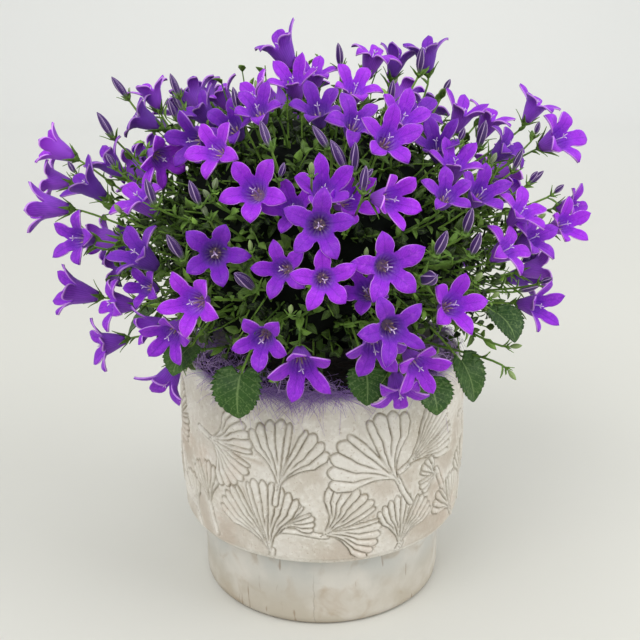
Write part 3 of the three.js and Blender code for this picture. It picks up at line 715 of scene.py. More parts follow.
def fan_relief(arc, z, fan):
    """Height and groove of one leaf fan. Round its base a point has a distance and an angle; the
    angle is divided by a flare that grows with distance, so ribs leave the stem together and
    spread. The way to the edge is measured along a ray and divided by the root of 1 + slope^2.
    Ribs are rounded between sunk lines, and a round stem runs to its end between two lines."""
    base_arc, base_z, tilt, spread, length, ribs, split, end_arc, end_z = fan
    x = arc - base_arc
    y = z - base_z
    distance = np.hypot(x, y) + 1e-6
    angle = (np.arctan2(x, y) - math.radians(tilt) + np.pi) % (2 * np.pi) - np.pi
    flare = 0.22 + 0.78 * np.clip(distance / (0.6 * length), 0, 1) ** 0.9
    part = angle / (math.radians(spread) * flare)
    rib = (part * 0.5 + 0.5) * ribs
    edge = fan_edge(part, length, ribs, split)
    slope = (fan_edge(part + 0.01, length, ribs, split) - fan_edge(part - 0.01, length, ribs, split))
    slope = slope / (0.02 * math.radians(spread) * flare * distance)
    inside = (np.abs(part) < 1) & (distance < edge)
    rib_width = math.radians(spread) * flare * 2 / ribs * distance
    to_line = np.abs(rib - np.round(rib)) * rib_width
    side_line = (1 - np.abs(part)) * math.radians(spread) * flare * distance
    to_edge = np.where(np.abs(part) < 1, np.abs(distance - edge) / np.hypot(1, slope), 1e3)
    to_side = np.where((distance < edge) & (distance > 3.5), np.abs(side_line), 1e3)
    start = (0.16 + 0.2 * (np.round(rib) % 2)) * length
    started = np.clip((distance - start) / (0.08 * length), 0, 1)
    line = np.where(inside, np.exp(-(to_line / RIB_LINE) ** 2) * started, 0)
    rim = np.exp(-(np.minimum(to_edge, to_side) / EDGE_LINE) ** 2)
    round_rib = np.clip(1 - (np.clip(to_line, 0, 1.6) / 1.6 - 1) ** 2, 0, 1)
    swell = np.clip(distance / (0.5 * length), 0.3, 1)
    height = np.where(inside, 0.35 + 0.6 * round_rib * swell, 0)
    along_x, along_z = end_arc - base_arc, end_z - base_z
    stem_length = math.hypot(along_x, along_z)
    share = np.clip((x * along_x + y * along_z) / stem_length ** 2, -3.5 / stem_length, 1)
    bend = 0.1 * max(stem_length - 9, 0) * np.sin(np.pi * np.clip(share, 0, 1))
    off = np.hypot(x - share * along_x - bend * along_z / stem_length,
                   y - share * along_z + bend * along_x / stem_length)
    stem = off < FAN_STEM_RADIUS
    height = np.where(stem & ~inside, 0.6 * (1 - (off / FAN_STEM_RADIUS) ** 2) + 0.1, height)
    stem_line = np.where(inside, 0, np.exp(-((off - 1.5) / STEM_LINE) ** 2))
    groove = np.maximum(np.maximum(line, rim), stem_line)
    around = np.minimum(to_edge, np.where(inside, 0, off))
    halo = np.exp(-(around / HALO_REACH) ** 2) * ~inside
    covered = inside | (rim > 0.4) | (off < 1.9)
    return height - LINE_DEPTH * groove + HALO_HEIGHT * halo, groove, covered, halo


def relief(arc, z):
    """All fans over the wall. A fan hides those listed after it, and the set is repeated."""
    turn = 2 * np.pi * RELIEF_RADIUS
    height = np.zeros_like(arc)
    groove = np.zeros_like(arc)
    ground = np.ones_like(arc)
    taken = np.zeros(arc.shape, bool)
    for repeat in range(FAN_REPEATS):
        for fan in FANS:
            centre = fan[0] + repeat * turn / FAN_REPEATS
            local = (arc - centre + turn / 2) % turn - turn / 2 + fan[0]
            near = (np.abs(local - fan[0]) < fan[4] + 16) & ~taken
            raised, sunk, covered, halo = fan_relief(local[near], z[near], fan)
            height[near] = np.where(covered, raised, np.maximum(height[near], raised))
            groove[near] = np.maximum(groove[near], sunk)
            ground[near] = np.where(covered, 0, np.minimum(ground[near], 1 - halo))
            taken[near] = covered
    return height, groove, ground


def wall_shell(start, end, columns, rows):
    """A shell of the pot's wall between two turns (degrees from the front). The outer skin stands
    at the wall's radius plus the relief, which fades at top and bottom; small waves make its
    lines a little unsteady. Each column goes on to two points 2 mm behind, so that the shell is
    closed, and a flat face ends it at each side."""
    turn = np.linspace(math.radians(start), math.radians(end), columns)[None]
    z = np.linspace(WALL_LOW, WALL_HIGH, rows)[:, None]
    turn, z = np.broadcast_arrays(turn, z)
    x, y = WALL_MIDDLE * np.sin(turn), WALL_MIDDLE * np.cos(turn)
    unsteady = 0.12 * waves(x, y, z, 1.2, 14, SEEDS["line across"])
    height, groove, ground = relief(turn * RELIEF_RADIUS + unsteady,
                                    z + 0.12 * waves(x, y, z, 1.3, 14, SEEDS["line up"]))
    fade = np.clip((z - WALL_LOW - 0.8) / 2, 0, 1) * np.clip((WALL_HIGH - 3 - z) / 3, 0, 1)
    uneven = 0.25 * waves(x, y, z, 9, 16, SEEDS["uneven wall"])
    radius = wall_radius(z) - 0.3 + fade * (height * RELIEF_SHARE + uneven)
    radius = np.concatenate([radius, wall_radius(z[[-1, 0]]) - 2])
    turn = np.concatenate([turn, turn[:2]])
    z = np.concatenate([z, z[[-1, 0]]])
    points = np.stack([radius * np.sin(turn), -radius * np.cos(turn), z], axis=-1).reshape(-1, 3)
    ids = np.arange(len(points)).reshape(rows + 2, columns)
    faces = [grid_faces(ids.T, around=True)[:, ::-1], ids[:, :1].T, ids[::-1, -1:].T]
    behind = np.zeros(2 * columns)
    return (points, faces, np.concatenate([(groove * fade).ravel(), behind]),
            np.concatenate([(ground * fade).ravel(), behind]))


def turned(profile, sides):
    """A profile of radius and height turned round Z, with its ends closed by round faces."""
    angle = 2 * np.pi * np.arange(sides) / sides
    profile = np.asarray(profile, float)
    points = round_axis(profile[:, :1], profile[:, 1:], angle).reshape(-1, 3)
    return points, capped(np.arange(len(points)).reshape(len(profile), sides))


def rounded(profile, step):
    """A profile with points every step along each straight, corners eased by one smoothing."""
    profile = np.asarray(profile, float)
    parts = [np.linspace(a, b, max(2, int(np.hypot(*(b - a)) / step) + 1))[:-1]
             for a, b in zip(profile[:-1], profile[1:])]
    dense = np.concatenate([*parts, profile[-1:]])
    eased = dense.copy()
    eased[1:-1] = dense[1:-1] * 0.5 + (dense[:-2] + dense[2:]) * 0.25
    return eased


def pot_body():
    """Foot, inside and rim of the pot: its profile turned round Z. Behind the relief the wall
    stands 1 mm further in, under the shells."""
    foot = rounded([[0.5, 0], [63, 0], [64.5, 1.5], [64.5, 42]], 3)
    wall = rounded([[64.5, 42], [72.6, 42.3], [73.0, 45], [74.2, 72], [73.4, 110.5], [72.2, 125.6]], 3)
    rim = rounded([[72.2, 125.6], [73.1, 126.1], [72.6, 127.4], [70.9, RIM_TOP], [69.4, 128.0],
                   [68.7, 126.5], [67.7, 122.5]], 0.7)
    inside = rounded([[67.7, 122.5], [67.7, 56], [56.5, 42], [56.5, 8], [0.5, 8]], 6)
    profile = np.concatenate([foot, wall[1:], rim[1:], inside[1:]])
    return turned(profile, POT_SIDES)


def soil_body():
    """Crumbly fill of the pot: the turned profile, its upper part raised by soft random waves.
    The top is 2 mm higher in the middle and falls by 2 mm over the outer 12 mm."""
    low = [[0.5, 8.4], [56.1, 8.4], [56.1, 42.4], [SOIL_RADIUS, 56.5], [SOIL_RADIUS, 110.5]]
    top = [[r, SOIL_TOP - 2 * max(0, r - 55.3) / 12 + 2 * (1 - r / SOIL_RADIUS)]
           for r in np.linspace(SOIL_RADIUS, 0.5, 42)]
    points, faces = turned(low + top, SOIL_SIDES)
    upper = points[:, 2] > SOIL_TOP - 3
    x, y, z = points[upper].T
    crumbs = (waves(x, y, z, 1.6, 14, SEEDS["crumbs"]) + waves(x, y, z, 6, 10, SEEDS["clods"])) * 0.5
    inward = np.clip((67 - np.hypot(x, y)) / 4, 0, 1)
    points[upper, 2] += crumbs * inward
    return points, faces


def fibre_strands(count, seed):
    """Loose strands. Each is an arc of a circle of its own radius and plane, round a centre in a
    clump beside the rim, with a slow wave on top. Points over the soil stay above it, and points
    over the rim are raised onto it. Clumps at the front, left and right carry most of them."""
    rng = np.random.default_rng(seed)
    clump = np.array(STRAND_CLUMPS)[rng.integers(0, len(STRAND_CLUMPS), count)]
    turn = radians(clump + rng.normal(size=count) * np.where(rng.random(count) < 0.75, 8, 24))
    reach = rng.uniform(57, 71, count)
    raised = np.where(np.abs(clump + 87) > 40, 7, 0)
    centre = round_axis(reach, 119 + raised + 11 * rng.random(count), turn)[:, None]
    first = unit(rng.normal(size=(count, 1, 3)) * [1, 1, 0.5])
    second = unit(np.cross(first, rng.normal(size=(count, 1, 3))))
    steps, sides = 9, 3
    s = np.linspace(0, 1, steps)[None, :, None]
    size = rng.uniform(3.5, 10, (count, 1, 1))
    angle = rng.uniform(1.2, 3.2, (count, 1, 1)) * s + rng.uniform(0, 6, (count, 1, 1))
    paths = centre + size * (first * np.cos(angle) + second * np.sin(angle) * 0.8)
    paths = paths + 0.4 * np.sin(rng.uniform(4, 8, (count, 1, 3)) * s)
    radius = np.hypot(paths[..., 0], paths[..., 1])
    shrink = np.where(radius > RIM_RADIUS, RIM_RADIUS / radius, 1)
    paths[..., :2] *= shrink[..., None]
    radius = np.minimum(radius, RIM_RADIUS)
    floor = np.interp(radius, [60, 66.4, 68.5, RIM_RADIUS], [115.5, 117, RIM_TOP, RIM_TOP])
    ceiling = np.interp(radius, [60, 68, 73], [138, 140, 136]) + raised[:, None]
    paths[..., 2] = np.minimum(np.maximum(paths[..., 2], floor + 0.3), ceiling)
    radii = rng.uniform(0.08, 0.17, (count, 1)) * np.ones(steps)
    points, faces = tubes(paths, radii, sides)
    # Painted shade and light: strands further out and higher get a paler tone, those low and inside the
    # rim a darker one, with some random spread.
    outer = np.clip((radius - 62) / 12, 0, 1)
    over = np.clip((paths[..., 2] - 126) / 8, 0, 1)
    tone = np.clip(0.2 + 0.5 * outer + 0.4 * over + rng.normal(size=(count, 1)) * 0.18, 0, 1)
    return points, faces, np.repeat(tone.ravel(), sides)


def fibre_wisps(count, seed):
    """Thin wisps over the rim. Each leaves the inside of the rim, its radius grows with the root
    of the way along and it falls with the square of it, so that it rests on the rim and hangs
    before the wall; it drifts to one side with a slow wave."""
    rng = np.random.default_rng(seed)
    clump = np.array(WISP_CLUMPS)[rng.integers(0, len(WISP_CLUMPS), count)]
    turn = radians(clump + rng.normal(size=count) * 4)[:, None]
    steps, sides = 8, 3
    s = np.linspace(0, 1, steps)[None]
    drift = rng.normal(size=(count, 1)) * 0.2
    fall = rng.gamma(2.2, 2.4, (count, 1))
    angle = turn + drift * s + 0.012 * np.sin(rng.uniform(3, 7, (count, 1)) * s + 9 * turn)
    radius = 67.5 + rng.uniform(7.4, 8.6, (count, 1)) * s ** 0.6
    z = 129.2 + rng.uniform(0.2, 2.2, (count, 1)) * np.sin(np.pi * s) - fall * s ** 2
    radii = rng.uniform(0.07, 0.14, (count, 1)) * (1.1 - 0.6 * s)
    points, faces = tubes(round_axis(radius, z, angle), radii, sides)
    tone = np.clip(0.4 + 0.25 * rng.normal(size=count), 0, 1)
    return points, faces, np.repeat(tone, steps * sides)


def petal_grid():
    """Point numbers and parameters of one bloom: rings up the bell, then five lobes, on an inner
    and an outer skin that meet at the lobes' edges, and a pole on each skin."""
    across, bell, lobe = 6, 5, 8
    ring = np.arange((bell + 1) * 5 * across).reshape(bell + 1, 5 * across)
    lobes = ring.size + np.arange(5 * lobe * (across + 1)).reshape(5, lobe, across + 1)
    size = ring.size + lobes.size
    column = np.arange(5 * across)
    a_bell = np.tile(2 * (column % across) / across - 1, (bell + 1, 1))
    k_bell = np.tile(column // across, (bell + 1, 1))
    v_bell = np.tile(np.linspace(0, 1, bell + 1)[:, None], (1, 5 * across))
    a_lobe = np.broadcast_to(np.linspace(-1, 1, across + 1), lobes.shape)
    k_lobe = np.broadcast_to(np.arange(5)[:, None, None], lobes.shape)
    t_lobe = np.broadcast_to((np.arange(1, lobe + 1) / lobe)[None, :, None] ** 0.92, lobes.shape)
    a = np.concatenate([a_bell.ravel(), a_lobe.ravel()])
    k = np.concatenate([k_bell.ravel(), k_lobe.ravel()])
    v = np.concatenate([v_bell.ravel(), np.ones(lobes.size)])
    t = np.concatenate([np.zeros(ring.size), t_lobe.ravel()])
    quads = [grid_faces(ring, around=True)]
    walls = []
    for number in range(5):
        mouth = ring[-1, (number * across + np.arange(across + 1)) % (5 * across)]
        ids = np.concatenate([mouth[None], lobes[number]])
        quads.append(grid_faces(ids))
        rim = np.concatenate([ids[:, 0], ids[-1, 1:-1], ids[::-1, -1]])
        walls.append(np.stack([rim[:-1], rim[1:], rim[1:] + size, rim[:-1] + size], axis=-1))
    inner = np.concatenate(quads)
    poles = 2 * size
    first = ring[0]
    after = np.roll(first, -1)
    throat = np.stack([np.full_like(first, poles), after, first], axis=-1)
    back = np.stack([np.full_like(first, poles + 1), first + size, after + size], axis=-1)
    faces = [inner[:, ::-1], inner + size, np.concatenate(walls)[:, ::-1], throat[:, ::-1],
             back[:, ::-1]]
    return a, k, v, t, size, faces


def bloom_petals(places, axes, scales, spins, seed):
    """Bell and lobes. Up the bell the radius grows from 2.1 at the base to 5.2 at the mouth,
    partly on a sine and partly on a power of the way. A lobe runs out from the mouth with half
    width (3.06 + 2 t)(1 - t^2.1), drawn in by 12% near the mouth; it rises, then curls back at
    the tip, its midrib is sunk, and each lobe has its own tilt, curl and twist."""
    a, k, v, t, size, faces = petal_grid()
    rng = np.random.default_rng(seed)
    count = len(places)
    tilt = radians(rng.uniform(4, 40, (count, 1)) + rng.normal(size=(count, 5))[:, k] * 6)
    curl = rng.uniform(-3.2, 0.4, (count, 1)) + rng.normal(size=(count, 5))[:, k] * 0.7
    twist = rng.normal(size=(count, 5))[:, k] * 0.16
    length = LOBE_LENGTH + rng.normal(size=(count, 5))[:, k] * 0.5
    broad = 1 + rng.normal(size=(count, 5))[:, k] * 0.07
    skins = []
    for side in (1, -1):
        angle = math.pi / 5 * a
        bell = BELL_BASE + (MOUTH_RADIUS - BELL_BASE) * (0.45 * np.sin(v * np.pi / 2) + 0.55 * v ** 1.3)
        bell = bell - side * 0.2 * (1 - t)
        rise = -BELL_LENGTH + (0.5 if side > 0 else 0) + (BELL_LENGTH - 2.4) * v
        width = broad * (3.06 + 2.0 * t) * np.maximum(1 - t ** 2.1, 0.001)
        width = width * (1 - 0.12 * np.exp(-((t - 0.12) / 0.1) ** 2))
        outward = length * t
        radial = np.where(t > 0, MOUTH_RADIUS * (1 - (1 - np.cos(angle)) * (1 - t) ** 2),
                          bell * np.cos(angle)) + outward * np.cos(tilt)
        lateral = np.where(t > 0, np.sin(angle) / math.sin(math.pi / 5) * width,
                           bell * np.sin(angle))
        sink = 0.45 * np.exp(-(a / 0.25) ** 2) * np.sin(np.pi * np.minimum(t * 1.2, 1))
        crown = 4.6 * t * (1.6 - 1.2 * t) - sink + 0.5 * t * (1 - a ** 2)
        s = rise + np.where(t > 0, crown + curl * t ** 2 + twist * lateral * t, 0)
        s = s + outward * np.sin(tilt) + side * 0.15 * (t > 0)
        turn = spins[:, None] + 2 * math.pi / 5 * k
        skins.append(np.stack([radial * np.cos(turn) - lateral * np.sin(turn),
                               radial * np.sin(turn) + lateral * np.cos(turn), s], axis=-1))
    poles = np.broadcast_to(np.array([[0, 0, -BELL_LENGTH + 0.5], [0, 0, -BELL_LENGTH]]),
                            (count, 2, 3))
    local = np.concatenate([*skins, poles], axis=1)
    points = place_at(places, axes, scales, local).reshape(-1, 3)
    along = np.where(t > 0, 0.4 + 0.6 * t, 0.4 * v)
    one = np.stack([a * 0.5 + 0.5, along], axis=-1)
    uv = np.tile(np.concatenate([one, one, [[0.5, 0], [0.5, 0]]]), (count, 1))
    step = 2 * size + 2
    outside = np.tile(np.concatenate([np.zeros(size), np.ones(size), [0, 1]]), count)
    mood = np.clip(0.5 + 0.28 * rng.normal(size=(count, 1)) + 0.06 * rng.normal(size=(count, step)),
                   0, 1)
    faces = [repeated(f, count, step) for f in faces]
    return points, faces, uv, outside, mood.ravel()


def bloom_hearts(places, axes, scales, seed):
    """Pistil: a rod up the bell that parts into three curled arms. Stamens: five rods that lean
    out from the throat. Each rod is a path with its bend in its formula."""
    arms, stamens, steps, sides = 3, 5, 5, 3
    rng = np.random.default_rng(seed)
    count = len(places)
    s = np.linspace(0, 1, steps)
    style = np.stack([0.3 * np.sin(3 * s), 0.3 * s, -11.2 + 10.4 * s], axis=-1)[None]
    turns = 2 * np.pi * np.arange(arms)[:, None] / arms
    arm = round_axis(1.3 * np.sin(s * 1.7), -1.0 + 1.7 * np.sin(s * 2.2), turns)
    turns = 2 * np.pi * (np.arange(stamens)[:, None] + 0.5) / stamens
    stamen = round_axis(0.9 + 1.1 * s ** 2, -10.5 + 4.5 * s, turns)
    rods = np.concatenate([style, arm, stamen])
    radii = np.concatenate([np.full((1, steps), 0.28), np.tile(0.28 - 0.12 * s, (arms, 1)),
                            np.tile(0.2 + 0.22 * np.sin(np.pi * s), (stamens, 1))])
    spin = rng.uniform(0, 6, count)
    turned_x = (rods[None, ..., 0] * np.cos(spin)[:, None, None]
                - rods[None, ..., 1] * np.sin(spin)[:, None, None])
    turned_y = (rods[None, ..., 0] * np.sin(spin)[:, None, None]
                + rods[None, ..., 1] * np.cos(spin)[:, None, None])
    local = np.stack([turned_x, turned_y, np.broadcast_to(rods[None, ..., 2], turned_x.shape)],
                     axis=-1).reshape(count, -1, 3)
    paths = place_at(places, axes, scales, local).reshape(count * len(rods), steps, 3)
    points, faces = tubes(paths, np.tile(radii, (count, 1)), sides)
    brown = np.repeat([0] * (1 + arms) + [1] * stamens, steps * sides)
    return points, faces, np.tile(brown, count)


def calyxes(places, axes, scales):
    """Calyx: a cup turned round the stalk behind the bell, and five narrow sepals that stand out
    from it along the bell."""
    count = len(places)
    profile = np.array([[0.9, -14.6], [1.2, -13.9], [2.3, -12.9], [2.6, -12.3], [2.3, -11.6]])
    cup, faces = turned(profile, 8)
    points = place_at(places, axes, scales, np.tile(cup[None], (count, 1, 1))).reshape(-1, 3)
    faces = [repeated(f, count, len(cup)) for f in faces]
    cups = (points, faces, np.full((len(points), 2), 0.3), np.full(len(points), 0.4))
    sepals = 5
    rng = np.random.default_rng(SEEDS["sepals"])
    turn = rng.uniform(0, 6, (count, 1)) + 2 * np.pi * np.arange(sepals) / sepals
    ring = lambda r, s: place_at(places, axes, scales, round_axis(r, s, turn)).reshape(-1, 3)
    base = ring(2.2, -12.4)
    tip = ring(6.4 + rng.uniform(-1, 1.6, turn.shape), -7.2 + rng.uniform(-2, 1, turn.shape))
    outward = (base + tip) / 2 - ring(0.0, -9.0)
    points, faces, uv, _ = blades(base, tip, outward, np.repeat(scales, sepals) * 1.9,
                                  lambda t: 0.5 * np.maximum(1 - t ** 1.3, 0.04), (5, 3), 0.3, 0.2,
                                  -0.5)
    return joined([cups, (points, faces, uv, np.full(len(points), 0.5))])


def core_point(direction, factor):
    """A point of the heart of the bush along a direction, at a share of its radii."""
    return direction * CORE_RADII * factor + DOME_CENTRE


def bloom_stalks(places, axes, scales, reach, seed):
    """Stalks: cubic curves that leave the heart of the bush outwards and reach the calyx along
    the bloom's own axis, a little thicker at the root."""
    rng = np.random.default_rng(seed)
    end = places - axes[:, 2] * (scales * reach)[:, None]
    inner = DOME_CENTRE - np.array([0, 0, 34.0])
    root = inner + (end - inner) * rng.uniform(0.5, 0.6, (len(end), 1))
    root = root + rng.normal(size=root.shape) * 2.5
    gap = np.linalg.norm(end - root, axis=-1, keepdims=True)
    first = root + unit(root - inner) * gap * 0.4
    second = end - axes[:, 2] * np.minimum(gap * 0.3, 8)
    steps, sides = 9, 6
    s = np.linspace(0, 1, steps)[None, :, None]
    paths = ((1 - s) ** 3 * root[:, None] + 3 * s * (1 - s) ** 2 * first[:, None]
             + 3 * s ** 2 * (1 - s) * second[:, None] + s ** 3 * end[:, None])
    radii = 0.6 - 0.12 * s[..., 0] + 0 * gap
    points, faces = tubes(paths, radii, sides)
    tone = np.repeat(rng.uniform(0.3, 1, len(places)), steps * sides)
    return points, faces, tone, paths


def stalk_leaves(paths, leaves, seed):
    """Narrow leaves that sit on the stalks, spaced along them and turned by the golden angle."""
    rng = np.random.default_rng(seed)
    count = len(paths)
    at = np.linspace(1, 7, leaves).astype(int)
    base = paths[:, at]
    way = unit(paths[:, at + 1] - base)
    first = unit(np.cross(way, [0.31, 0.17, 0.94]))
    second = np.cross(way, first)
    ring = (np.arange(leaves) * GOLDEN + rng.uniform(0, 6, (count, 1)))[..., None]
    side = first * np.cos(ring) + second * np.sin(ring)
    tip = base + unit(side + way * rng.uniform(0.5, 1.4, (count, leaves, 1))) * rng.uniform(
        4.2, 9.0, (count, leaves, 1))
    base, tip, out = base.reshape(-1, 3), tip.reshape(-1, 3), (way - 0.4 * side).reshape(-1, 3)
    size = np.linalg.norm(tip - base, axis=-1)
    keep = clear_of_blooms((base + tip) / 2, size / 2)
    base, tip, out, size = base[keep], tip[keep], out[keep], size[keep]
    outline = lambda t: np.interp(t, [0, 0.34, 0.67, 1], [0.1, 0.5, 0.4, 0.02])
    points, faces, uv, each = blades(base, tip, out, size * 0.42, outline, (4, 3), 0.35, 0.3, 0.5)
    return points, faces, uv, np.repeat(np.clip(rng.normal(0.6, 0.25, len(base)), 0, 1), each)


def bud_table():
    """The placed buds, and buds on golden-angle directions over the sides and the back, kept clear
    of the blooms."""
    rng = np.random.default_rng(SEEDS["back buds"])
    count = BACK_BUDS
    k = np.arange(count)
    turn = 85 + np.degrees(k * GOLDEN) % 190
    lift = -20 + 85 * (k + 0.5) / count
    places = heading(turn, lift) * DOME_RADII * rng.uniform(0.9, 1.0, (count, 1)) + DOME_CENTRE
    more = np.column_stack([places, turn, lift * 0.6 + 30, rng.uniform(0.55, 0.95, count)])
    more = more[clear_of_blooms(places, np.full(count, 4))]
    return np.concatenate([np.array(PLACED_BUDS, float), more])


def buds(rows):
    """Buds: a pleated spindle; the radius is a sine along it with five pleats round it. Small ones
    are rounder, and the smallest are still green."""
    places, axes, scales = rows[:, :3], facing(rows[:, 3], rows[:, 4]), rows[:, 5]
    axes[:, 2] *= np.where(scales < 0.8, 0.72, 1.0)[:, None]
    rings, sides = 9, 15
    v = np.linspace(0, 1, rings)[:, None]
    angle = 2 * np.pi * np.arange(sides)[None] / sides
    radius = 1.8 * np.sin(np.pi * np.clip(v * 0.93 + 0.06, 0, 1)) ** 0.7
    radius = radius * (1 + 0.14 * np.cos(5 * angle))
    local = round_axis(radius, -5 + 12.5 * v, angle + 0.5 * v).reshape(1, -1, 3)
    count = len(rows)
    points = place_at(places, axes, scales, np.tile(local, (count, 1, 1))).reshape(-1, 3)
    each = rings * sides
    faces = [repeated(f, count, each) for f in capped(np.arange(each).reshape(rings, sides))]
    uv = np.stack([angle / (2 * np.pi) * np.ones_like(v), v * np.ones_like(angle)], axis=-1)
    young = np.repeat(np.clip((0.68 - scales) / 0.04, 0, 1), each)
    return points, faces, np.tile(uv.reshape(-1, 2), (count, 1)), young


def clear_of_blooms(points, radius):
    """True where a point keeps a radius from every bloom: from a disc of 13 mm times its scale,
    which reaches from 3.5 mm behind the mouth to 30 mm in front of it, and from the bell."""
    offset = points[:, None] - BLOOM_PLACES[None]
    depth = np.einsum("nbk,bk->nb", offset, BLOOM_AXES[:, 2])
    aside = np.sqrt(np.maximum(np.sum(offset ** 2, axis=-1) - depth ** 2, 0))
    radius = np.asarray(radius)[:, None]
    disc = (aside < 13 * BLOOM_SCALES + radius) & (depth > -3.5 - radius) & (depth < 30)
    bell = (aside < 5.5 + radius) & (depth > -13) & (depth <= 0)
    return ~np.any(disc | bell, axis=1)


def leafy_shoots(count, leaves, seed):
    """Shoots on golden-angle directions from the heart outwards, and a sixth as many longer ones
    low over both sides. Each is a bent path, and along it stand leaves, each turned on from the
    last by the golden angle."""
    rng = np.random.default_rng(seed)
    turn = np.degrees(np.arange(count) * GOLDEN) % 360
    lift = np.degrees(np.arcsin(np.linspace(-0.72, 1.0, count)))
    sides = count // 6
    side_turn = rng.uniform(35, 100, sides) * np.where(np.arange(sides) % 3, 1, -1)
    turn = np.concatenate([turn, side_turn])
    lift = np.concatenate([lift, rng.uniform(-28, 22, sides)])
    length = np.concatenate([rng.uniform(24, 47, count), rng.uniform(38, 56, sides)])[:, None]
    count += sides
    way = heading(turn, lift)
    tilt = unit(way + rng.normal(size=way.shape) * 0.3)
    root = core_point(way, 0.72)
    steps, stem_sides = 7, 5
    s = np.linspace(0, 1, steps)[None, :, None]
    paths = root[:, None] + (way[:, None] * s + (tilt - way)[:, None] * s ** 2) * length[:, None]
    paths[..., 2] = np.maximum(paths[..., 2], LOWEST_GREEN)
    stems = tubes(paths, 0.6 - 0.3 * s[..., 0] + 0 * length, stem_sides)
    along = np.linspace(0.18, 1, leaves)
    step = along * (steps - 1)
    low = np.minimum(step.astype(int), steps - 2)
    rest = (step - low)[None, :, None]
    base = paths[:, low] * (1 - rest) + paths[:, low + 1] * rest
    ring = np.arange(leaves) * GOLDEN + rng.uniform(0, 6, (count, 1))
    right = unit(np.cross(tilt, [0.2, 0.1, 1.0]))
    up = np.cross(tilt, right)
    side = right[:, None] * np.cos(ring)[..., None] + up[:, None] * np.sin(ring)[..., None]
    size = rng.uniform(4.5, 9.5, (count, leaves, 1)) * (1.1 - 0.35 * along[None, :, None])
    lean = unit(side + tilt[:, None] * rng.uniform(0.2, 0.9, (count, leaves, 1))
                + np.array([0, 0, 0.15]))
    tip = base + lean * size
    out = unit(tilt[:, None] + 0.5 * np.array([0, 0, 1.0]) + 0.3 * rng.normal(size=tip.shape))
    flat = lambda grid: grid.reshape(-1, grid.shape[-1])
    base, tip, out, size = flat(base), flat(tip), flat(out), flat(size)[:, 0]
    outside_rim = np.hypot(tip[:, 0], tip[:, 1]) > 78
    keep = clear_of_blooms((base + tip) / 2, size / 2) & (tip[:, 2] > LOWEST_GREEN)
    keep &= outside_rim | (tip[:, 2] > 131)
    base, tip, out, size = base[keep], tip[keep], out[keep], size[keep]
    outline = lambda t: np.interp(t, [0, 0.34, 0.67, 1], [0.08, 0.5, 0.36, 0.02])
    points, faces, uv, each = blades(base, tip, out, size * 0.58, outline, (4, 3), 0.35, 0.3, 0.5)
    # Painted shade and light: leaves deeper in the bush get a darker tone and outer ones a lighter one,
    # at least 0.6 at the far outside so that leaves seen from behind stay light; a random part is
    # added.
    depth = np.linalg.norm((tip - DOME_CENTRE) / DOME_RADII, axis=-1)
    tone = np.clip((depth - 0.62) * 1.7 + rng.normal(0.1, 0.27, len(base)), 0, 1) ** 2.2
    tone = np.repeat(np.maximum(tone, np.clip((depth - 0.8) * 2.8, 0, 0.6)), each)
    stem_tone = np.repeat(rng.uniform(0.1, 0.9, count), steps * stem_sides)
    return (*stems, stem_tone), (points, faces, uv, tone)


def toothed(t):
    """Half width of a heart-shaped leaf with saw teeth that point to the tip."""
    smooth = np.interp(t, [0, 0.05, 0.14, 0.3, 0.5, 0.7, 0.86, 0.96, 1],
                       [0.2, 0.38, 0.49, 0.53, 0.51, 0.40, 0.24, 0.09, 0.01])
    saw = 0.7 * ((t * 9) % 1) + 0.3 * ((t * 18) % 1)
    return smooth * (1 + 0.2 * (saw - 0.5))


def large_leaves():
    """Toothed leaves round the rim: the placed ones, and more that a rule sets round the back,
    with their stalks' ends 84 mm from the middle and their tips 97 to 103 mm."""
    rows = np.array(PLACED_LEAVES, float)
    rng = np.random.default_rng(SEEDS["large leaves"])
    count = BACK_LEAVES
    turn = np.linspace(80, 280, count)
    base = heading(turn, 0) * 84
    base[:, 2] = 150 + 8 * rng.random(count)
    tip = heading(turn + 14 * (rng.random(count) - 0.5), 0) * (97 + 6 * rng.random((count, 1)))
    tip[:, 2] = 132 + 8 * rng.random(count)
    base = np.concatenate([rows[:, :3], base])
    tip = np.concatenate([rows[:, 3:6], tip])
    width = np.concatenate([rows[:, 6], np.full(count, BACK_LEAF_WIDTH)])
    base = base + 0.16 * (tip - base)
    out = base * [1, 1, 0] + [0, 0, 60]
    points, faces, uv, each = blades(base, tip, out, width, toothed, (65, 11), 0.5, 0.18, 0.4, 0.2)
    tone = np.repeat(np.clip(rng.normal(0.55, 0.2, len(base)), 0, 1), each)
    outward = unit((base - DOME_CENTRE) / CORE_RADII)
    root = core_point(outward, 0.8)
    s = np.linspace(0, 1, 7)[None, :, None]
    end = base + (tip - base) * 0.05
    paths = root[:, None] * (1 - s) + end[:, None] * s + np.array([0, 0, 4]) * np.sin(np.pi * s)
    stalk = tubes(paths, 0.5 + 0 * s[..., 0] + 0 * width[:, None], 6)
    return (points, faces, uv, tone), (*stalk, np.full(len(stalk[0]), 0.8))


def heart():
    """Painted shade inside the bush: a dark globe on the heart's radii, raised and sunk by soft
    waves, that stands for shaded leaves deep inside.
    """
    rows, columns = 48, 88
    lift = np.linspace(-np.pi / 2, np.pi / 2, rows)[:, None]
    turn = 2 * np.pi * np.arange(columns)[None] / columns
    x, y, z = np.cos(lift) * np.cos(turn), np.cos(lift) * np.sin(turn), np.sin(lift) + 0 * turn
    swell = 0.93 + 0.05 * waves(x, y, z, 0.09, 30, SEEDS["heart"])
    points = np.stack([x, y, z], axis=-1) * swell[..., None] * CORE_RADII + DOME_CENTRE
    ids = np.arange(rows * columns).reshape(rows, columns)
    inner = ids[1:-1]
    used = points.reshape(-1, 3)[inner[0, 0]:inner[-1, -1] + 1]
    return used, [f - inner[0, 0] for f in capped(inner)]


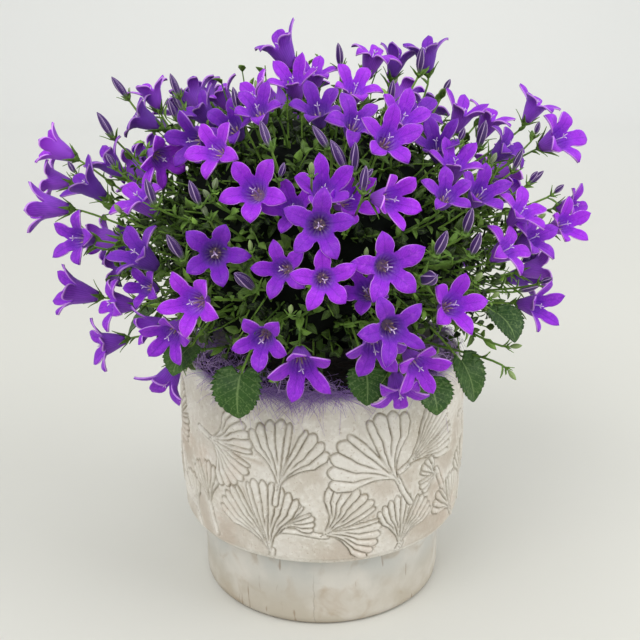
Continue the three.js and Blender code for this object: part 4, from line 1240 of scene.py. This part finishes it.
def trunks():
    """Stems that stand in the soil: upright rods, thinner at the top, one in the middle and six
    on the ring of the solids."""
    ring, phase, count = 34, 34, 6
    turns = [2 * math.pi * k / count + phase for k in range(count)]
    places = [[0.0, 0.0]] + [[ring * math.cos(turn), ring * math.sin(turn)] for turn in turns]
    s = np.linspace(0, 1, 8)[None, :, None]
    foot = np.array([[*place, SOIL_TOP - 11] for place in places])
    top = np.array([[*place, DOME_CENTRE[2] - 20] for place in places])
    paths = foot[:, None] * (1 - s) + top[:, None] * s
    points, faces = tubes(paths, 1.9 - 0.4 * s[..., 0], 8, (1, 0.2, 0))
    return points, faces, np.full(len(points), 0.2)


def stage_cove():
    """Floor that curves up into a backdrop: a profile carried sideways."""
    bend = np.linspace(-np.pi / 2, 0, 24)
    curve = np.stack([STAGE_BACK + STAGE_BEND * np.cos(bend),
                      STAGE_BEND + STAGE_BEND * np.sin(bend)], axis=-1)
    profile = np.concatenate([[[STAGE_FRONT, 0]], curve, [[STAGE_BACK + STAGE_BEND, STAGE_TOP]]])
    x = np.linspace(-STAGE_HALF_WIDTH, STAGE_HALF_WIDTH, 3)[None]
    grid = np.broadcast_arrays(x, profile[:, :1], profile[:, 1:])
    points = np.stack(grid, axis=-1).reshape(-1, 3)
    return points, [grid_faces(np.arange(len(points)).reshape(len(profile), 3))[:, ::-1]]


def colour_property(name, description, value):
    return bpy.props.StringProperty(name=name, description=description, default=value)


class BellflowerColours(bpy.types.PropertyGroup):
    """Colours as sRGB hex values."""
    pot_wash: colour_property("Whitewash", "Brushed coat of the pot's wall", "#d9d4cb")
    pot_shade: colour_property("Whitewash shade", "Greyer places of the coat", "#c8c1b4")
    pot_groove: colour_property("Groove", "Clay in the grooves of the relief", "#867a63")
    foot_low: colour_property("Foot below", "Foot near the floor", "#bbb2a2")
    foot_high: colour_property("Foot above", "Foot under the overhang", "#c2c2bd")
    # Ends of the fibre's tone, which paints shade on strands deep in the mat and light on outer ones.
    fibre_dark_with_painted_shade: colour_property("Fibre, dark", "Strands deep in the mat", "#7448a8")
    fibre_pale_with_painted_light: colour_property("Fibre, pale", "Loose strands", "#c4a6da")
    petal: colour_property("Petal", "Lobes seen from inside", "#922ad0")
    petal_light: colour_property("Petal, light", "Brighter places of the lobes", "#b656e2")
    petal_deep: colour_property("Petal veins", "Midrib and veins", "#5a12a0")
    # Bell inside: its own violet, lightened as painted light against the shade in the bell.
    petal_throat_with_painted_light: colour_property("Petal throat", "Bell seen from inside", "#9a50dc")
    petal_back: colour_property("Petal back", "Bell seen from outside", "#8a46c8")
    petal_edge: colour_property("Petal edge", "Thin rim of the lobes", "#dca4f4")
    # Ends of the small leaves' tone: painted shade on leaves inside the bush, painted light on leaves
    # at its outside.
    leaf_dark_with_painted_shade: colour_property("Leaf, dark", "Leaves inside the bush", "#081606")
    leaf_light_with_painted_light: colour_property("Leaf, light", "Leaves that face the light", "#94c052")
    stem: colour_property("Stem", "Young stems and calyxes", "#7ea244")
    stage: colour_property("Stage", "Floor", "#d6d5ce")
    # Painted light: the card's colour is lighter towards the backdrop.
    stage_far_with_painted_light: colour_property("Stage, far", "Backdrop", "#f0f0ed")


class BellflowerSizes(bpy.types.PropertyGroup):
    """Counts and strengths that a user would change."""
    strands: bpy.props.IntProperty(
        name="Fibre strands", description="Loose strands inside the rim", default=1050, min=100)
    shoots: bpy.props.IntProperty(
        name="Leafy shoots", description="Shoots that fill the bush", default=400, min=20)
    shoot_leaves: bpy.props.IntProperty(
        name="Leaves a shoot", description="Small leaves on each shoot", default=9, min=2)
    key_light: bpy.props.FloatProperty(
        name="Key light", description="Power of the large soft light", default=16.0, min=0.0,
        unit="POWER")
    fill_light: bpy.props.FloatProperty(
        name="Fill light", description="Strength of the light from all round", default=0.72,
        min=0.0)


def colours_of(context):
    return context.scene.bellflower_colours


def sizes_of(context):
    return context.scene.bellflower_sizes


class BELLFLOWER_OT_pot(bpy.types.Operator):
    """Pot: turned body with a plain foot, and a wall in relief"""
    bl_idname = "bellflower.pot"
    bl_label = "Pot"

    def execute(self, context):
        colours = colours_of(context)
        clay = whitewashed_clay(colours)
        points, faces = pot_body()
        make_piece("pot_body", points, faces, stoneware_foot(colours), ["pot"], "pot")
        for name, start, end, columns in (("pot_wall_left", -90, 0, FRONT_COLUMNS),
                                          ("pot_wall_right", 0, 90, FRONT_COLUMNS),
                                          ("pot_wall_back", 90, 270, BACK_COLUMNS)):
            points, faces, groove, ground = wall_shell(start, end, columns, WALL_ROWS)
            make_piece(name, points, faces, clay, ["pot"], "pot",
                       values={"groove": groove, "ground": ground}, sharp=SHARP_EDGE)
        return {"FINISHED"}


class BELLFLOWER_OT_soil(bpy.types.Operator):
    """Soil that fills the pot"""
    bl_idname = "bellflower.soil"
    bl_label = "Soil"

    def execute(self, context):
        points, faces = soil_body()
        make_piece("soil_fill", points, faces, potting_soil(), ["soil"], "soil")
        return {"FINISHED"}


class BELLFLOWER_OT_fibre(bpy.types.Operator):
    """Loose fibre round the rim"""
    bl_idname = "bellflower.fibre"
    bl_label = "Fibre"

    def execute(self, context):
        strands = sizes_of(context).strands
        points, faces, tone = joined([fibre_strands(strands, SEEDS["strands"]),
                                      fibre_wisps(strands * 2 // 3, SEEDS["wisps"])])
        make_piece("fibre_strands", points, faces, sisal_fibre(colours_of(context)),
                   ["fibre_collar"], "fibre", values={"tone": tone})
        return {"FINISHED"}


class BELLFLOWER_OT_blooms(bpy.types.Operator):
    """Bells with their lobes, pistils and stamens"""
    bl_idname = "bellflower.blooms"
    bl_label = "Blooms"

    def execute(self, context):
        skin = petal_skin(colours_of(context))
        placed = len(PLACED_BLOOMS)
        half = placed // 2
        for name, part, seed in (("petals_front_left", slice(0, half), "petals left"),
                                 ("petals_front_right", slice(half, placed), "petals right"),
                                 ("petals_back", slice(placed, None), "petals back")):
            points, faces, uv, outside, tone = bloom_petals(
                BLOOM_PLACES[part], BLOOM_AXES[part], BLOOM_SCALES[part], BLOOM_SPINS[part],
                SEEDS[seed])
            make_piece(name, points, faces, skin, BLOOM_NODES, "petals", uv,
                       {"outside": outside, "tone": tone})
        points, faces, brown = bloom_hearts(BLOOM_PLACES, BLOOM_AXES, BLOOM_SCALES,
                                            SEEDS["pistils"])
        make_piece("pistils_and_stamens", points, faces, heart_skin(), BLOOM_NODES, "petals",
                   values={"tone": brown})
        return {"FINISHED"}


class BELLFLOWER_OT_stalks(bpy.types.Operator):
    """Stalks, calyxes and closed buds"""
    bl_idname = "bellflower.stalks"
    bl_label = "Stalks and buds"

    def execute(self, context):
        colours = colours_of(context)
        rows = bud_table()
        bud_axes = facing(rows[:, 3], rows[:, 4])
        green = stem_skin("green_stem", "#557636", colours.stem)
        *bloom_rods, bloom_paths = bloom_stalks(
            BLOOM_PLACES, BLOOM_AXES, BLOOM_SCALES, BLOOM_STALK_REACH, SEEDS["bloom stalks"])
        *bud_rods, bud_paths = bloom_stalks(
            rows[:, :3], bud_axes, rows[:, 5], BUD_STALK_REACH, SEEDS["bud stalks"])
        foliage_piece("stalks", joined([bloom_rods, bud_rods, trunks()]), green)
        young = leaf_skin("young_leaf", "#24401a", "#86b048", "#9cbe62", 0.4)
        paths = np.concatenate([bloom_paths, bud_paths])
        foliage_piece("stalk_leaves", stalk_leaves(paths, LEAVES_A_STALK, SEEDS["stalk leaves"]),
                      young)
        near, axes = rows[:len(PLACED_BUDS)], bud_axes[:len(PLACED_BUDS)]
        places = near[:, :3] + axes[:, 2] * near[:, 5:] * BUD_CALYX_AHEAD
        part = calyxes(np.concatenate([BLOOM_PLACES, places]), np.concatenate([BLOOM_AXES, axes]),
                       np.concatenate([BLOOM_SCALES, near[:, 5] * BUD_CALYX_SCALE]))
        foliage_piece("calyxes", part, green)
        points, faces, uv, young = buds(rows)
        make_piece("buds", points, faces, bud_skin(), ["foliage"], "petals", uv, {"young": young})
        return {"FINISHED"}


class BELLFLOWER_OT_leaves(bpy.types.Operator):
    """Small leaves on shoots, large toothed leaves and a dark globe of painted shade in the heart of
    the bush
    """
    bl_idname = "bellflower.leaves"
    bl_label = "Leaves"

    def execute(self, context):
        colours = colours_of(context)
        sizes = sizes_of(context)
        green = stem_skin("leafy_stem", "#3c5c20", colours.stem)
        small = leaf_skin("bellflower_leaf", colours.leaf_dark_with_painted_shade, colours.leaf_light_with_painted_light, "#7d9f4c", 0.45)
        stems, leaves = leafy_shoots(sizes.shoots, sizes.shoot_leaves, SEEDS["shoots"])
        foliage_piece("shoots", stems, green)
        foliage_piece("small_leaves", leaves, small)
        large = leaf_skin("toothed_leaf", "#1d3c18", "#426628", "#8ea868", 0.4)
        toothed_leaves, stalks = large_leaves()
        foliage_piece("large_leaves", toothed_leaves, large)
        foliage_piece("large_leaf_stalks", stalks, green)
        points, faces = heart()
        # Painted shade: near-black greens on the globe stand for the shade deep inside the bush.
        dark = stem_skin("shaded_leaves", "#050a04", "#0d1a09", 0.95)
        make_piece("bush_heart_painted_shade", points, faces, dark, ["foliage"], "leaves")
        return {"FINISHED"}


def aim(place, target):
    """Rotation that points a lamp's -Z from its place to a target."""
    x, y, z = (t - p for t, p in zip(target, place))
    return (math.atan2(math.hypot(x, y), -z), 0, math.atan2(y, x) - math.pi / 2)


class BELLFLOWER_OT_stage(bpy.types.Operator):
    """Pale cove, soft lights and the camera"""
    bl_idname = "bellflower.stage"
    bl_label = "Stage"

    def execute(self, context):
        sizes = sizes_of(context)
        points, faces = stage_cove()
        mesh = bpy.data.meshes.new("cove")
        mesh.from_pydata((points * MM).tolist(), [], faces[0].tolist())
        mesh.materials.append(matt_card(colours_of(context)))
        mesh.shade_smooth()
        cove = bpy.data.objects.new("cove", mesh)
        context.scene.collection.objects.link(cove)
        world = bpy.data.worlds.new("soft_room")
        world.use_nodes = True
        sky = world.node_tree.nodes["Background"]
        sky.inputs["Color"].default_value = linear("#f8fafa")
        sky.inputs["Strength"].default_value = sizes.fill_light
        context.scene.world = world
        context.scene.view_settings.view_transform = "Standard"
        for name, place, size, share, target in LAMPS:
            light = bpy.data.lights.new(name, "AREA")
            light.size = size
            light.energy = sizes.key_light * share
            lamp = bpy.data.objects.new(name, light)
            lamp.location = place
            lamp.rotation_euler = aim(place, target)
            context.scene.collection.objects.link(lamp)
        camera = bpy.data.cameras.new("camera")
        camera.sensor_width = CAMERA_SENSOR
        camera.lens = CAMERA_LENS
        camera.shift_x = CAMERA_SHIFT
        view = bpy.data.objects.new("camera", camera)
        view.location = CAMERA_PLACE
        view.rotation_euler = (math.radians(90 - CAMERA_PITCH), 0, 0)
        context.scene.collection.objects.link(view)
        context.scene.camera = view
        return {"FINISHED"}


OPERATORS = (BELLFLOWER_OT_stage, BELLFLOWER_OT_pot, BELLFLOWER_OT_soil, BELLFLOWER_OT_fibre,
             BELLFLOWER_OT_blooms, BELLFLOWER_OT_stalks, BELLFLOWER_OT_leaves)


class BELLFLOWER_PT_panel(bpy.types.Panel):
    """Lists the operators and the values"""
    bl_label = "Bellflower"
    bl_idname = "BELLFLOWER_PT_panel"
    bl_space_type = "VIEW_3D"
    bl_region_type = "UI"
    bl_category = "Bellflower"

    def draw(self, context):
        for group in (sizes_of(context), colours_of(context)):
            for name in group.__annotations__:
                self.layout.prop(group, name)
        for operator in OPERATORS:
            self.layout.operator(operator.bl_idname)


CLASSES = (BellflowerColours, BellflowerSizes, *OPERATORS, BELLFLOWER_PT_panel)


def register():
    for cls in CLASSES:
        bpy.utils.register_class(cls)
    bpy.types.Scene.bellflower_colours = bpy.props.PointerProperty(type=BellflowerColours)
    bpy.types.Scene.bellflower_sizes = bpy.props.PointerProperty(type=BellflowerSizes)


def unregister():
    del bpy.types.Scene.bellflower_sizes
    del bpy.types.Scene.bellflower_colours
    for cls in reversed(CLASSES):
        bpy.utils.unregister_class(cls)


def main():
    register()
    bpy.ops.bellflower.stage()
    bpy.ops.bellflower.pot()
    bpy.ops.bellflower.soil()
    bpy.ops.bellflower.fibre()
    bpy.ops.bellflower.blooms()
    bpy.ops.bellflower.stalks()
    bpy.ops.bellflower.leaves()


if __name__ == "__main__":
    main()
